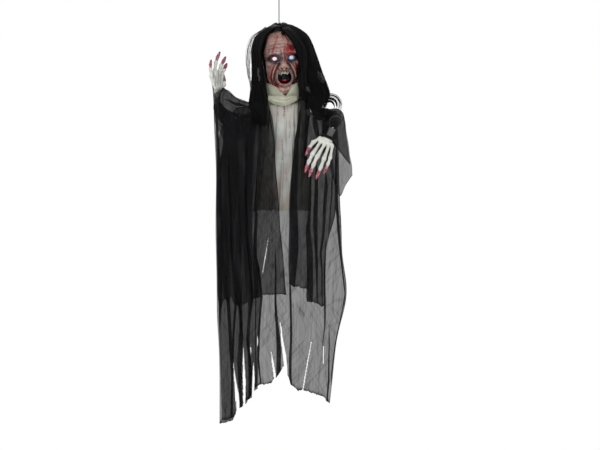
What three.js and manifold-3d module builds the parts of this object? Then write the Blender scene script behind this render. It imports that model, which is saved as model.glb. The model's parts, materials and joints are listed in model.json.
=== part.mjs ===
// A hanging animated ghost figure: moulded head that turns on a motor drive, black wig,
// collar, cravat and shirt, gauze robe, two padded wire arms and two bone hands.
// Millimetres and degrees. Z is up, the figure faces -Y, and the origin is the top of the
// loop that the hanging cord ends in.
import * as THREE from 'three';
import { mergeVertices } from 'three/addons/utils/BufferGeometryUtils.js';
import Module from 'manifold-3d';

const wasm = await Module();
wasm.setup();

// Clearances that every fit shares.
const gap = 0.3;
const clothGap = 0.6;
const overrun = 6;
const weld = 0.002;

// Cord and the rod that it holds.
const cord = { diameter: 2.2, free: 53, loopHeight: 11, loopWidth: 8, knot: 5.6 };
const rod = { diameter: 5, eyeWidth: 10, eyeWire: 2.6, eyeStand: 3, collarWidth: 10, collarHeight: 4 };

// Head, before it leans and turns. Its base is the chin's height over the neck pivot.
const head = { width: 96, height: 165, depth: 125, base: 8, wall: 3, blend: 7, neckDrop: 8 };
const lean = -4.4;
const turn = 4;
const eye = { radius: 10, lidWidth: 17, lidHeight: 11 };
const led = { diameter: 5, length: 9, seat: 2 };
const mouth = { width: 32, height: 28, depth: 18, wall: 2 };
const tooth = { height: 6, fang: 9, width: 4.4, gum: 5, thickness: 4 };
const hair = { cap: 6 };

// Chest box and what it holds.
const box = { width: 76, depth: 50, height: 112, wall: 2.5, corner: 8, drop: 14 };
const gear = { module: 1.33, headTeeth: 24, pinionTeeth: 9, face: 6 };
const deck = { thickness: 3, drop: 24 };
const spindle = { flange: 25, flangeHeight: 4, wall: 4.2 };
const motor = { diameter: 18, length: 27, shaft: 3 };
const cell = { diameter: 14.2, length: 50.5, pitch: 15 };
const tray = { wall: 1.2, depth: 15 };
const door = { thickness: 2, margin: 3, rib: 1.4 };
const board = { width: 42, height: 40, thickness: 1.6, stand: 14 };
const speaker = { diameter: 30, thickness: 8, side: 14, rise: 24, slotWidth: 2.4 };
const sensor = { diameter: 9, thickness: 5, side: 22, drop: 58, hole: 2 };
const button = { diameter: 8, travel: 2, flange: 12, flangeHeight: 1.6, proud: 3.5, side: 25, rise: 48 };
const slider = { width: 6, height: 5, travel: 2, plate: 12, plateThickness: 1.4, proud: 2.5, rise: 22 };

// Shoulders and arms.
const yoke = { thickness: 3, depth: 30, reach: 50, drop: 24, lug: 5, lugRadius: 8 };
const bolt = { diameter: 4.4, head: 9, headHeight: 2.6 };
const arm = { wire: 4, hub: 14, hubThickness: 5, padding: 32, bore: 7, padStart: 18, padEnd: 9 };
const armRight = { upper: 84, fore: 72 };
const armLeft = { upper: 71, fore: 52 };

// Bone hands: the stub that the wire enters, the fan of the palm and five fingers.
const hand = { stub: 28, fan: 41, reach: 92, bone: 5.2, bore: 10 };
const strap = { width: 7, thickness: 1.8 };

// Clothes.
const collar = { radius: 36, flare: 8, height: 39.6, thickness: 1.6 };
const cravat = { height: 21, tuck: 9, shift: 5, bulge: 8, thickness: 2.2 };
const shirt = { width: 134, drop: 256, shift: 8, thickness: 1.6, pleatDepth: 1.6 };
const robe = { depth: 50, drop: 760, thickness: 1.4, foldDepth: 3 };

const rad = THREE.MathUtils.degToRad;
const v3 = (x, y, z) => new THREE.Vector3(x, y, z);

// Places that the sizes above settle.
const axisRise = head.base + head.height + rod.eyeStand + rod.eyeWidth / 2;
const cordFoot = cord.loopHeight + gap + cord.knot + gap + cord.free + gap;
const pivot = v3(Math.sin(rad(-lean)) * axisRise, 0, -cordFoot - Math.cos(rad(lean)) * axisRise);
const boxTop = -box.drop;
const boxFloor = boxTop - box.height;
const deckTop = boxTop - deck.drop;
const innerWidth = box.width - 2 * box.wall;
const innerDepth = box.depth - 2 * box.wall;
const cavityCorner = box.corner - box.wall;
const gearCentres = (gear.module * (gear.headTeeth + gear.pinionTeeth)) / 2;
const pinionTurns = gear.headTeeth / gear.pinionTeeth;

const coreMatrix = new THREE.Matrix4().makeRotationY(rad(lean)).setPosition(pivot);
const toWorld = (x, y, z) => v3(x, y, z).applyMatrix4(coreMatrix);

const model = new THREE.Group();
const core = new THREE.Group();
core.position.copy(pivot);
core.rotation.y = rad(lean);
const face = new THREE.Group();
face.rotation.z = rad(turn);
core.add(face);
model.add(core);

function finish(color, roughness, metalness = 0) {
  return new THREE.MeshStandardMaterial({ color, roughness, metalness, flatShading: true });
}

function put(parent, name, geometry, material) {
  const mesh = new THREE.Mesh(outward(geometry), material);
  mesh.name = name;
  parent.add(mesh);
  return mesh;
}

// A closed mesh with shared corners and no empty triangles, its faces pointing out.
function outward(geometry) {
  const bare = geometry.clone();
  for (const key of Object.keys(bare.attributes)) {
    if (key !== 'position') bare.deleteAttribute(key);
  }
  const merged = mergeVertices(bare, weld);
  const at = merged.attributes.position;
  const kept = [];
  let volume = 0;
  for (let i = 0; i < merged.index.count; i += 3) {
    const [a, b, c] = [0, 1, 2].map((k) => merged.index.getX(i + k));
    if (a === b || b === c || c === a) continue;
    kept.push(a, b, c);
    const corners = [a, b, c].map((k) => v3().fromBufferAttribute(at, k));
    volume += corners[0].dot(corners[1].cross(corners[2]));
  }
  if (volume < 0) kept.reverse();
  const closed = new THREE.BufferGeometry();
  closed.setAttribute('position', at);
  closed.setIndex(kept);
  closed.computeVertexNormals();
  return closed;
}

function solid(geometry) {
  const closed = outward(geometry);
  return new wasm.Manifold(
    new wasm.Mesh({
      numProp: 3,
      vertProperties: new Float32Array(closed.attributes.position.array),
      triVerts: new Uint32Array(closed.index.array),
    }),
  );
}

function shape(manifold) {
  const mesh = manifold.getMesh();
  const geometry = new THREE.BufferGeometry();
  geometry.setAttribute('position', new THREE.BufferAttribute(new Float32Array(mesh.vertProperties), 3));
  geometry.setIndex(new THREE.BufferAttribute(new Uint32Array(mesh.triVerts), 1));
  return geometry;
}

function block(x, y, z, at) {
  return solid(new THREE.BoxGeometry(x, y, z).translate(at.x, at.y, at.z));
}

function pillar(radius, length, sides, at, along = 'z') {
  const geometry = new THREE.CylinderGeometry(radius, radius, length, sides);
  if (along === 'z') geometry.rotateX(Math.PI / 2);
  if (along === 'x') geometry.rotateZ(Math.PI / 2);
  return geometry.translate(at.x, at.y, at.z);
}

// A profile of [radius, height] pairs turned about Z.
function revolve(profile, sides) {
  const points = profile.map(([r, z]) => new THREE.Vector2(r, z));
  return new THREE.LatheGeometry(points, sides).rotateX(Math.PI / 2);
}

function disc(radius, sides) {
  const outline = new THREE.Shape();
  for (let i = 0; i < sides; i += 1) {
    const a = (i / sides) * 2 * Math.PI;
    const point = [radius * Math.cos(a), radius * Math.sin(a)];
    if (i === 0) outline.moveTo(...point);
    else outline.lineTo(...point);
  }
  outline.closePath();
  return outline;
}

function tube(points, radius, sides, steps) {
  const extrudePath = new THREE.CatmullRomCurve3(points, false, 'centripetal');
  return new THREE.ExtrudeGeometry(disc(radius, sides), { steps, extrudePath });
}

function extrude(outline, depth, curveSegments = 6) {
  return new THREE.ExtrudeGeometry(outline, { depth, bevelEnabled: false, curveSegments });
}

// Rings of equal count joined into one closed body with a fan at each end.
function loft(rings) {
  const n = rings[0].length;
  const points = rings.flat();
  const middle = (ring) => ring.reduce((sum, p) => sum.add(p), v3()).divideScalar(n);
  const index = [];
  for (let j = 0; j + 1 < rings.length; j += 1) {
    for (let i = 0; i < n; i += 1) {
      const [a, b] = [j * n + i, j * n + ((i + 1) % n)];
      index.push(a, b, b + n, a, b + n, a + n);
    }
  }
  const last = rings.length - 1;
  points.push(middle(rings[0]), middle(rings[last]));
  for (let i = 0; i < n; i += 1) {
    const k = (i + 1) % n;
    index.push(k, i, points.length - 2, last * n + i, last * n + k, points.length - 1);
  }
  return fromPoints(points, index);
}

function fromPoints(points, index) {
  const geometry = new THREE.BufferGeometry().setFromPoints(points);
  geometry.setIndex(index);
  return geometry;
}

// A cloth of one thickness through rows of points, offset along the cloth's own normal.
function cloth(rows, thickness) {
  const [nv, nu] = [rows.length, rows[0].length];
  const behind = rows.map((row, j) =>
    row.map((p, i) => {
      const along = v3().subVectors(row[Math.min(i + 1, nu - 1)], row[Math.max(i - 1, 0)]);
      const down = v3().subVectors(rows[Math.min(j + 1, nv - 1)][i], rows[Math.max(j - 1, 0)][i]);
      return p.clone().addScaledVector(along.cross(down).normalize(), -thickness);
    }),
  );
  const points = [...rows.flat(), ...behind.flat()];
  const back = nv * nu;
  const index = [];
  const quad = (a, b, c, d) => index.push(a, b, c, a, c, d);
  for (let j = 0; j + 1 < nv; j += 1) {
    for (let i = 0; i + 1 < nu; i += 1) {
      const a = j * nu + i;
      quad(a, a + nu, a + nu + 1, a + 1);
      quad(back + a, back + a + 1, back + a + nu + 1, back + a + nu);
    }
    const [l, r] = [j * nu, j * nu + nu - 1];
    quad(l, back + l, back + l + nu, l + nu);
    quad(r, r + nu, back + r + nu, back + r);
  }
  for (let i = 0; i + 1 < nu; i += 1) {
    const foot = (nv - 1) * nu + i;
    quad(i, i + 1, back + i + 1, back + i);
    quad(foot, back + foot, back + foot + 1, foot + 1);
  }
  return fromPoints(points, index);
}

function gearOutline(teeth, backlashShare) {
  const pitch = (gear.module * teeth) / 2;
  const [tip, root] = [pitch + 0.8 * gear.module, pitch - 1.1 * gear.module];
  const step = (2 * Math.PI) / teeth;
  const outline = new THREE.Shape();
  for (let i = 0; i < teeth; i += 1) {
    const flankShares = [[root, -0.31], [tip, -0.13], [tip, 0.13], [root, 0.31]];
    flankShares.forEach(([r, share], k) => {
      const a = (i + share * (1 - backlashShare)) * step;
      const point = [r * Math.cos(a), r * Math.sin(a)];
      if (i + k === 0) outline.moveTo(...point);
      else outline.lineTo(...point);
    });
  }
  outline.closePath();
  return outline;
}

// Head form: ellipsoids in shares of the head's width, depth and height, melted together.
const headShares = [
  [[0, 0.1, 0.66], [0.5, 0.48, 0.335]],
  [[0, -0.1, 0.42], [0.415, 0.29, 0.36]],
  [[0, -0.25, 0.115], [0.19, 0.14, 0.115]],
  [[0.2, -0.08, 0.26], [0.17, 0.2, 0.17]],
  [[0.17, -0.315, 0.61], [0.17, 0.075, 0.04]],
  [[0, -0.34, 0.6], [0.1, 0.06, 0.05]],
  [[0.28, -0.22, 0.46], [0.13, 0.12, 0.065]],
  [[0, -0.36, 0.5], [0.055, 0.09, 0.12]],
  [[0, -0.43, 0.405], [0.085, 0.085, 0.052]],
  [[0.075, -0.39, 0.385], [0.05, 0.06, 0.033]],
  [[0, -0.31, 0.235], [0.25, 0.12, 0.17]],
  [[0, -0.385, 0.335], [0.16, 0.05, 0.03]],
  [[0, -0.365, 0.13], [0.13, 0.05, 0.03]],
  [[0, 0.02, 0.06], [0.27, 0.24, 0.28]],
];
const socketShares = [[0.203, -0.45, 0.515], [0.125, 0.105, 0.055]];
const centreShares = [0, 0.02, 0.45];
const eyeShares = [0.203, -0.264, 0.515];
const mouthShares = [0, -0.24, 0.236];
const headSize = v3(head.width, head.depth, head.height);
const placeInHead = (shares) => v3(...shares).multiply(headSize).add(v3(0, 0, head.base));

function lump(p, [at, size]) {
  const c = placeInHead(at);
  const r = v3(...size).multiply(headSize);
  const q = v3(Math.abs(p.x) - c.x, p.y - c.y, p.z - c.z);
  const near = q.clone().divide(r);
  const k = near.length();
  return (k * (k - 1)) / Math.max(near.divide(r).length(), Number.EPSILON);
}

function melt(a, b) {
  const h = Math.max(head.blend - Math.abs(a - b), 0) / head.blend;
  return Math.min(a, b) - (h * h * head.blend) / 4;
}

function headField(p) {
  const body = headShares.map((share) => lump(p, share)).reduce(melt);
  return -melt(-body, lump(p, socketShares));
}

// The head's surface pushed out by an offset, as rings about the face's own axis.
function headSurface(offset, rings, sides) {
  const centre = placeInHead(centreShares);
  const reach = head.height;
  const [front, back] = [[], []];
  const hit = (a, b) => {
    const aim = v3(Math.sin(a) * Math.cos(b), -Math.cos(a), Math.sin(a) * Math.sin(b));
    let [inside, outside] = [0, reach];
    const marches = 60;
    for (let i = marches; i > 0; i -= 1) {
      const r = (reach * i) / marches;
      if (headField(aim.clone().multiplyScalar(r).add(centre)) < offset) {
        inside = r;
        outside = r + reach / marches;
        break;
      }
    }
    for (let i = 0; i < 9; i += 1) {
      const r = (inside + outside) / 2;
      if (headField(aim.clone().multiplyScalar(r).add(centre)) < offset) inside = r;
      else outside = r;
    }
    return aim.multiplyScalar(inside).add(centre);
  };
  for (let j = 1; j < rings; j += 1) {
    const a = Math.PI * Math.pow(j / rings, 1.25);
    front.push(Array.from({ length: sides }, (_, i) => hit(a, (2 * Math.PI * i) / sides)));
  }
  back.push(hit(0, 0), hit(Math.PI, 0));
  const points = [...front.flat(), ...back];
  const index = [];
  const last = front.length - 1;
  for (let j = 0; j < last; j += 1) {
    for (let i = 0; i < sides; i += 1) {
      const [p, q] = [j * sides + i, j * sides + ((i + 1) % sides)];
      index.push(p, q, q + sides, p, q + sides, p + sides);
    }
  }
  for (let i = 0; i < sides; i += 1) {
    const k = (i + 1) % sides;
    index.push(k, i, points.length - 2, last * sides + i, last * sides + k, points.length - 1);
  }
  return fromPoints(points, index);
}

const skin = finish(0xa58a83, 0.55);
const black = finish(0x141416, 0.8);
const hairBlack = finish(0x0c0c0e, 0.5);
const bone = finish(0xd8dad2, 0.6);
const steel = finish(0x9aa0a6, 0.35, 0.9);
const housing = finish(0x1d1d20, 0.6);
const cream = finish(0xd2d0bd, 0.85);
const linen = finish(0xb9bcb6, 0.9);

// Cord: a taut length to the knot, and the loop over it.
const loopTop = cord.loopHeight - cord.diameter / 2;
const loopFoot = -cord.loopHeight;
const loopShares = [[0.12, 0.02], [0.42, 0.3], [0.5, 0.62], [0.3, 0.92], [0, 1]];
const halfLoop = loopShares.map(([x, z]) => [x * (cord.loopWidth - cord.diameter), z * loopTop]);
const loopPath = [
  ...halfLoop.map(([x, z]) => v3(x, 0, loopFoot + z)),
  ...halfLoop.slice(0, -1).reverse().map(([x, z]) => v3(-x, 0, loopFoot + z)),
];
const knotCentre = loopFoot - cord.knot / 2 + cord.diameter / 4;
const knotBall = new THREE.SphereGeometry(cord.knot / 2, 8, 6).translate(0, 0, knotCentre);
const loopSolid = solid(tube(loopPath, cord.diameter / 2, 6, 16)).add(solid(knotBall));
put(model, 'cord_end_loop', shape(loopSolid), black);
const cordTop = knotCentre - cord.knot / 2 - gap;
const cordEnd = -cordFoot + gap;
const cordGeometry = pillar(cord.diameter / 2, cordTop - cordEnd, 8, v3(0, 0, (cordTop + cordEnd) / 2));
put(model, 'hanging_cord', cordGeometry, black);

// Rod with its eye, its collar under the gear deck, and the turning spindle round it.
const eyeCentre = axisRise - rod.eyeWidth / 2;
const eyeRing = new THREE.TorusGeometry((rod.eyeWidth - rod.eyeWire) / 2, rod.eyeWire / 2, 7, 14);
eyeRing.rotateX(Math.PI / 2).translate(0, 0, eyeCentre);
const rodFoot = deckTop - deck.thickness - gap - rod.collarHeight;
const rodTop = eyeCentre - rod.eyeWidth / 2 + rod.eyeWire / 2;
const rodSolid = solid(pillar(rod.diameter / 2, rodTop - rodFoot, 12, v3(0, 0, (rodTop + rodFoot) / 2)))
  .add(solid(eyeRing))
  .add(solid(pillar(rod.collarWidth / 2, rod.collarHeight, 12, v3(0, 0, rodFoot + rod.collarHeight / 2))));
put(core, 'hanging_rod', shape(rodSolid), steel);

const spindleBore = rod.diameter / 2 + gap;
const spindleOuter = spindleBore + spindle.wall;
const flangeTop = head.base - head.neckDrop - gap;
const spindleProfile = [
  [spindleBore, deckTop + gap],
  [spindleOuter, deckTop + gap],
  [spindleOuter, flangeTop - spindle.flangeHeight],
  [spindle.flange, flangeTop - spindle.flangeHeight],
  [spindle.flange, flangeTop],
  [spindleBore, flangeTop],
  [spindleBore, deckTop + gap],
];
put(core, 'neck_spindle', revolve(spindleProfile, 24), housing);

// Gear train on the deck inside the box.
const gearFloor = deckTop + 2 * gear.module;
const headGear = solid(extrude(gearOutline(gear.headTeeth, 0.08), gear.face).translate(0, 0, gearFloor))
  .subtract(solid(pillar(spindleOuter + gap, gear.face + overrun, 24, v3(0, 0, gearFloor + gear.face / 2))));
put(core, 'head_gear', shape(headGear), finish(0xe8e4d8, 0.5));
const pinionTurned = extrude(gearOutline(gear.pinionTeeth, 0.08), gear.face);
pinionTurned.rotateZ(Math.PI + Math.PI / gear.pinionTeeth).translate(gearCentres, 0, gearFloor);
const pinionBore = pillar(
  motor.shaft / 2 + gap,
  gear.face + overrun,
  10,
  v3(gearCentres, 0, gearFloor + gear.face / 2),
);
put(core, 'drive_pinion', shape(solid(pinionTurned).subtract(solid(pinionBore))), finish(0xe8e4d8, 0.5));

const deckMiddle = deckTop - deck.thickness / 2;
const deckForm = roundedBox(innerWidth - 2 * gap, innerDepth - 2 * gap, deck.thickness, cavityCorner);
const deckPlate = solid(deckForm.translate(0, 0, deckTop - deck.thickness))
  .subtract(solid(pillar(spindleBore, deck.thickness + overrun, 12, v3(0, 0, deckMiddle))))
  .subtract(solid(pillar(motor.shaft, deck.thickness + overrun, 12, v3(gearCentres, 0, deckMiddle))));
put(core, 'gear_deck', shape(deckPlate), housing);
const motorTop = deckTop - deck.thickness - gap;
const motorFoot = motorTop - motor.length;
const shaftTop = gearFloor + gear.face;
const motorSolid = solid(
  pillar(motor.diameter / 2, motor.length, 20, v3(gearCentres, 0, (motorTop + motorFoot) / 2)),
).add(
  solid(pillar(motor.shaft / 2, shaftTop - motorFoot, 10, v3(gearCentres, 0, (shaftTop + motorFoot) / 2))),
);
put(core, 'gear_motor', shape(motorSolid), steel);

// Chest box: two shells that meet at the middle plane.
function roundedBox(width, depth, height, corner) {
  const [w, d] = [width / 2, depth / 2];
  const outline = new THREE.Shape();
  outline.moveTo(-w + corner, -d);
  outline.lineTo(w - corner, -d);
  outline.quadraticCurveTo(w, -d, w, -d + corner);
  outline.lineTo(w, d - corner);
  outline.quadraticCurveTo(w, d, w - corner, d);
  outline.lineTo(-w + corner, d);
  outline.quadraticCurveTo(-w, d, -w, d - corner);
  outline.lineTo(-w, -d + corner);
  outline.quadraticCurveTo(-w, -d, -w + corner, -d);
  return extrude(outline, height, 4);
}

const boxOuter = solid(roundedBox(box.width, box.depth, box.height, box.corner).translate(0, 0, boxFloor));
const cavityHeight = box.height - 2 * box.wall;
const cavity = roundedBox(innerWidth, innerDepth, cavityHeight, cavityCorner);
const boxInner = solid(cavity.translate(0, 0, boxFloor + box.wall));
const neckHole = solid(pillar(spindleOuter + gap, 2 * overrun, 24, v3(0, 0, boxTop)));
const boxShell = boxOuter.subtract(boxInner).subtract(neckHole);
const boxMiddle = (boxTop + boxFloor) / 2;
const half = (side) =>
  block(
    box.width + overrun,
    box.depth,
    box.height + overrun,
    v3(0, side * (box.depth / 2 + gap / 2), boxMiddle),
  );
const speakerAt = v3(speaker.side, -box.depth / 2 + box.wall, boxFloor + speaker.rise);
const grilleShares = [-0.3, -0.1, 0.1, 0.3];
const grille = grilleShares.map((share) =>
  block(
    speaker.slotWidth,
    2 * overrun,
    speaker.diameter * (0.75 - Math.abs(share)),
    v3(speakerAt.x + share * speaker.diameter, -box.depth / 2, speakerAt.z),
  ),
);
const sensorAt = v3(-sensor.side, -box.depth / 2 + box.wall, -sensor.drop);
const sensorFront = v3(sensorAt.x, -box.depth / 2, sensorAt.z);
const sensorHole = solid(pillar(sensor.hole / 2, 2 * overrun, 8, sensorFront, 'y'));
const postShares = [[-0.42, -0.42], [0.42, 0.42]];
const boardAt = v3(-innerWidth / 2 + gap + board.width / 2, 0, boxFloor + box.wall + gap + board.height / 2);
boardAt.y = -innerDepth / 2 + board.stand;
const posts = postShares.map(([x, z]) =>
  solid(
    pillar(
      board.thickness,
      board.stand - gap - board.thickness / 2 + box.wall / 2,
      8,
      v3(
        boardAt.x + x * board.width,
        (boardAt.y - board.thickness / 2 - gap - innerDepth / 2 - box.wall / 2) / 2,
        boardAt.z + z * board.height,
      ),
      'y',
    ),
  ),
);
let boxFront = boxShell.intersect(half(-1)).subtract(sensorHole);
for (const slot of grille) boxFront = boxFront.subtract(slot);
for (const post of posts) boxFront = boxFront.add(post);
put(core, 'chest_box_front', shape(boxFront), housing);

const trayWidth = 2 * cell.pitch + cell.diameter + 2 * gap + 2 * tray.wall;
const trayHeight = cell.length + 2 * gap + 2 * tray.wall;
const trayX = -innerWidth / 2 + cavityCorner + trayWidth / 2;
const trayAt = v3(trayX, 0, boxFloor + box.wall + gap + trayHeight / 2);
trayAt.y = innerDepth / 2 - gap - tray.depth / 2;
const doorOpening = block(
  trayWidth - 2 * tray.wall,
  2 * overrun,
  trayHeight - 2 * tray.wall,
  v3(trayAt.x, box.depth / 2, trayAt.z),
);
const buttonAt = v3(button.side, box.depth / 2, boxFloor + button.rise);
const sliderAt = v3(button.side, box.depth / 2, boxFloor + slider.rise);
const buttonHole = solid(pillar(button.diameter / 2 + gap, 2 * overrun, 16, buttonAt, 'y'));
const sliderSlot = block(
  slider.width + 2 * gap,
  2 * overrun,
  slider.height + 2 * slider.travel + 2 * gap,
  sliderAt,
);
const boxBack = boxShell.intersect(half(1)).subtract(doorOpening).subtract(buttonHole).subtract(sliderSlot);
put(core, 'chest_box_back', shape(boxBack), housing);

const trayInside = block(
  trayWidth - 2 * tray.wall,
  tray.depth,
  trayHeight - 2 * tray.wall,
  v3(trayAt.x, trayAt.y + tray.wall, trayAt.z),
);
const trayShell = block(trayWidth, tray.depth, trayHeight, trayAt).subtract(trayInside);
put(core, 'battery_tray', shape(trayShell), housing);
for (let i = 0; i < 3; i += 1) {
  const x = trayAt.x + (i - 1) * cell.pitch;
  const y = trayAt.y - tray.depth / 2 + tray.wall + gap + cell.diameter / 2;
  const radius = cell.diameter / 2 - gap / 2;
  put(core, `battery_${i + 1}`, pillar(radius, cell.length, 16, v3(x, y, trayAt.z)), steel);
}
const doorWidth = trayWidth + door.margin;
const doorHeight = trayHeight + door.margin;
const doorY = box.depth / 2 + gap + door.thickness / 2;
let doorSolid = block(doorWidth - door.margin, door.thickness, doorHeight, v3(trayAt.x, doorY, trayAt.z));
const ribShares = [0.32, 0.38, 0.44];
for (const share of ribShares) {
  const ribAt = v3(trayAt.x, doorY + door.thickness / 2, trayAt.z - share * doorHeight);
  doorSolid = doorSolid.add(block(doorWidth / 3, door.rib, door.rib, ribAt));
}
put(core, 'battery_door', shape(doorSolid), housing);

put(core, 'circuit_board', new THREE.BoxGeometry(board.width, board.thickness, board.height)
  .translate(boardAt.x, boardAt.y, boardAt.z), finish(0x2c6b3f, 0.6));
const speakerProfile = [
  [0, speaker.thickness],
  [speaker.diameter * 0.22, speaker.thickness],
  [speaker.diameter * 0.26, speaker.thickness * 0.5],
  [speaker.diameter * 0.5, speaker.thickness * 0.25],
  [speaker.diameter * 0.5, 0],
  [speaker.diameter * 0.42, 0],
  [speaker.diameter * 0.18, speaker.thickness * 0.4],
  [0, speaker.thickness * 0.4],
].reverse();
const speakerForm = revolve(speakerProfile, 20).rotateX(-Math.PI / 2);
put(core, 'speaker', speakerForm.translate(speakerAt.x, speakerAt.y + gap, speakerAt.z), black);
const sensorForm = pillar(
  sensor.diameter / 2,
  sensor.thickness,
  12,
  v3(sensorAt.x, sensorAt.y + gap + sensor.thickness / 2, sensorAt.z),
  'y',
);
put(core, 'sound_sensor', sensorForm, steel);

const buttonInner = box.depth / 2 - box.wall - gap;
const buttonOuter = box.depth / 2 + button.proud;
const buttonProfile = [
  [0, buttonInner - button.flangeHeight],
  [button.flange / 2, buttonInner - button.flangeHeight],
  [button.flange / 2, buttonInner],
  [button.diameter / 2, buttonInner],
  [button.diameter / 2, buttonOuter - button.flangeHeight / 2],
  [button.diameter / 2.6, buttonOuter],
  [0, buttonOuter],
];
const buttonForm = revolve(buttonProfile, 16).rotateX(-Math.PI / 2);
put(core, 'try_button', buttonForm.translate(buttonAt.x, 0, buttonAt.z), finish(0xb02020, 0.4));
const plateAt = v3(sliderAt.x, buttonInner - slider.plateThickness / 2, sliderAt.z);
const knobFoot = buttonInner - slider.plateThickness;
const knobTop = box.depth / 2 + slider.proud;
const knobAt = v3(sliderAt.x, (knobFoot + knobTop) / 2, sliderAt.z);
const sliderSolid = block(slider.plate, slider.plateThickness, slider.plate, plateAt)
  .add(block(slider.width, knobTop - knobFoot, slider.height, knobAt));
put(core, 'power_switch', shape(sliderSolid), black);

// Shoulder yoke: a sloping plate on the box with a lug down each side for the arm's bolt.
const shoulderDrop = yoke.drop + box.drop;
const yokeFloor = boxTop + gap;
const yokeEdge = yoke.reach + yoke.lugRadius * 0.75;
const yokeSag = yoke.drop * 0.42;
const yokeFlat = box.width / 2 + gap;
function yokeOutline() {
  const outline = new THREE.Shape();
  outline.moveTo(-yokeFlat, yokeFloor);
  outline.lineTo(yokeFlat, yokeFloor);
  outline.lineTo(box.width / 2 + yoke.thickness, yokeFloor - yoke.thickness / 2);
  outline.lineTo(yokeEdge, yokeFloor - yokeSag);
  outline.lineTo(yokeEdge, yokeFloor - yokeSag + yoke.thickness);
  outline.lineTo(box.width / 2 + yoke.thickness, yokeFloor + yoke.thickness / 2);
  outline.lineTo(yokeFlat, yokeFloor + yoke.thickness);
  outline.lineTo(-yokeFlat, yokeFloor + yoke.thickness);
  outline.lineTo(-box.width / 2 - yoke.thickness, yokeFloor + yoke.thickness / 2);
  outline.lineTo(-yokeEdge, yokeFloor - yokeSag + yoke.thickness);
  outline.lineTo(-yokeEdge, yokeFloor - yokeSag);
  outline.lineTo(-box.width / 2 - yoke.thickness, yokeFloor - yoke.thickness / 2);
  outline.closePath();
  return outline;
}
const onSide = (geometry, depth) => geometry.rotateX(Math.PI / 2).translate(0, depth / 2, 0);
let yokeSolid = solid(onSide(extrude(yokeOutline(), yoke.depth), yoke.depth));
for (const side of [-1, 1]) {
  const lugAt = v3(side * yoke.reach, 0, -shoulderDrop);
  const lugTop = yokeFloor - yoke.thickness / 3;
  const stem = block(
    yoke.lugRadius * 1.4,
    yoke.lug,
    lugTop + shoulderDrop,
    v3(lugAt.x, 0, (lugTop - shoulderDrop) / 2),
  );
  yokeSolid = yokeSolid.add(stem).add(solid(pillar(yoke.lugRadius, yoke.lug, 16, lugAt, 'y')));
}
for (const side of [-1, 1]) {
  const lugAt = v3(side * yoke.reach, 0, -shoulderDrop);
  const hole = solid(pillar(bolt.diameter / 2 + gap, yoke.lug + overrun, 12, lugAt, 'y'));
  yokeSolid = yokeSolid.subtract(hole);
}
const yokeHole = solid(pillar(spindleOuter + gap, 4 * overrun, 24, v3(0, 0, yokeFloor)));
put(core, 'shoulder_yoke', shape(yokeSolid.subtract(yokeHole)), housing);

const hubY = -yoke.lug / 2 - gap - arm.hubThickness / 2;
const hubFront = hubY - arm.hubThickness / 2;
const boltProfile = [
  [0, hubFront - gap - bolt.headHeight],
  [bolt.head / 2, hubFront - gap - bolt.headHeight],
  [bolt.head / 2, hubFront - gap],
  [bolt.diameter / 2, hubFront - gap],
  [bolt.diameter / 2, yoke.lug / 2 + gap],
  [bolt.head / 2, yoke.lug / 2 + gap],
  [bolt.head / 2, yoke.lug / 2 + gap + bolt.headHeight],
  [0, yoke.lug / 2 + gap + bolt.headHeight],
];
for (const [name, side] of [['right', -1], ['left', 1]]) {
  const form = revolve(boltProfile, 12).rotateX(-Math.PI / 2);
  put(core, `shoulder_bolt_${name}`, form.translate(side * yoke.reach, 0, -shoulderDrop), steel);
}

// Arms: a bent wire with its hub, the padding round it, and the hand that turns on its end.
const aimShares = {
  right: { upper: [-0.945, 0.06, -0.32], fore: [-0.45, -0.4, 0.8], hand: [0.08, -0.12, 0.99] },
  left: { upper: [0.98, 0.07, -0.12], fore: [-0.2, -0.8, -0.56], hand: [-0.42, -0.16, -0.89] },
};
const palmAimShares = { right: [-0.87, 0.5, 0.13], left: [0, -1, 0.18] };

function armPath(side, sizes) {
  const aims = aimShares[side];
  const shoulder = toWorld((side === 'left' ? 1 : -1) * yoke.reach, hubY, -shoulderDrop);
  const elbow = shoulder.clone().addScaledVector(v3(...aims.upper).normalize(), sizes.upper);
  const wrist = elbow.clone().addScaledVector(v3(...aims.fore).normalize(), sizes.fore);
  const handAim = v3(...aims.hand).normalize();
  return { shoulder, elbow, wrist, handAim };
}

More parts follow.
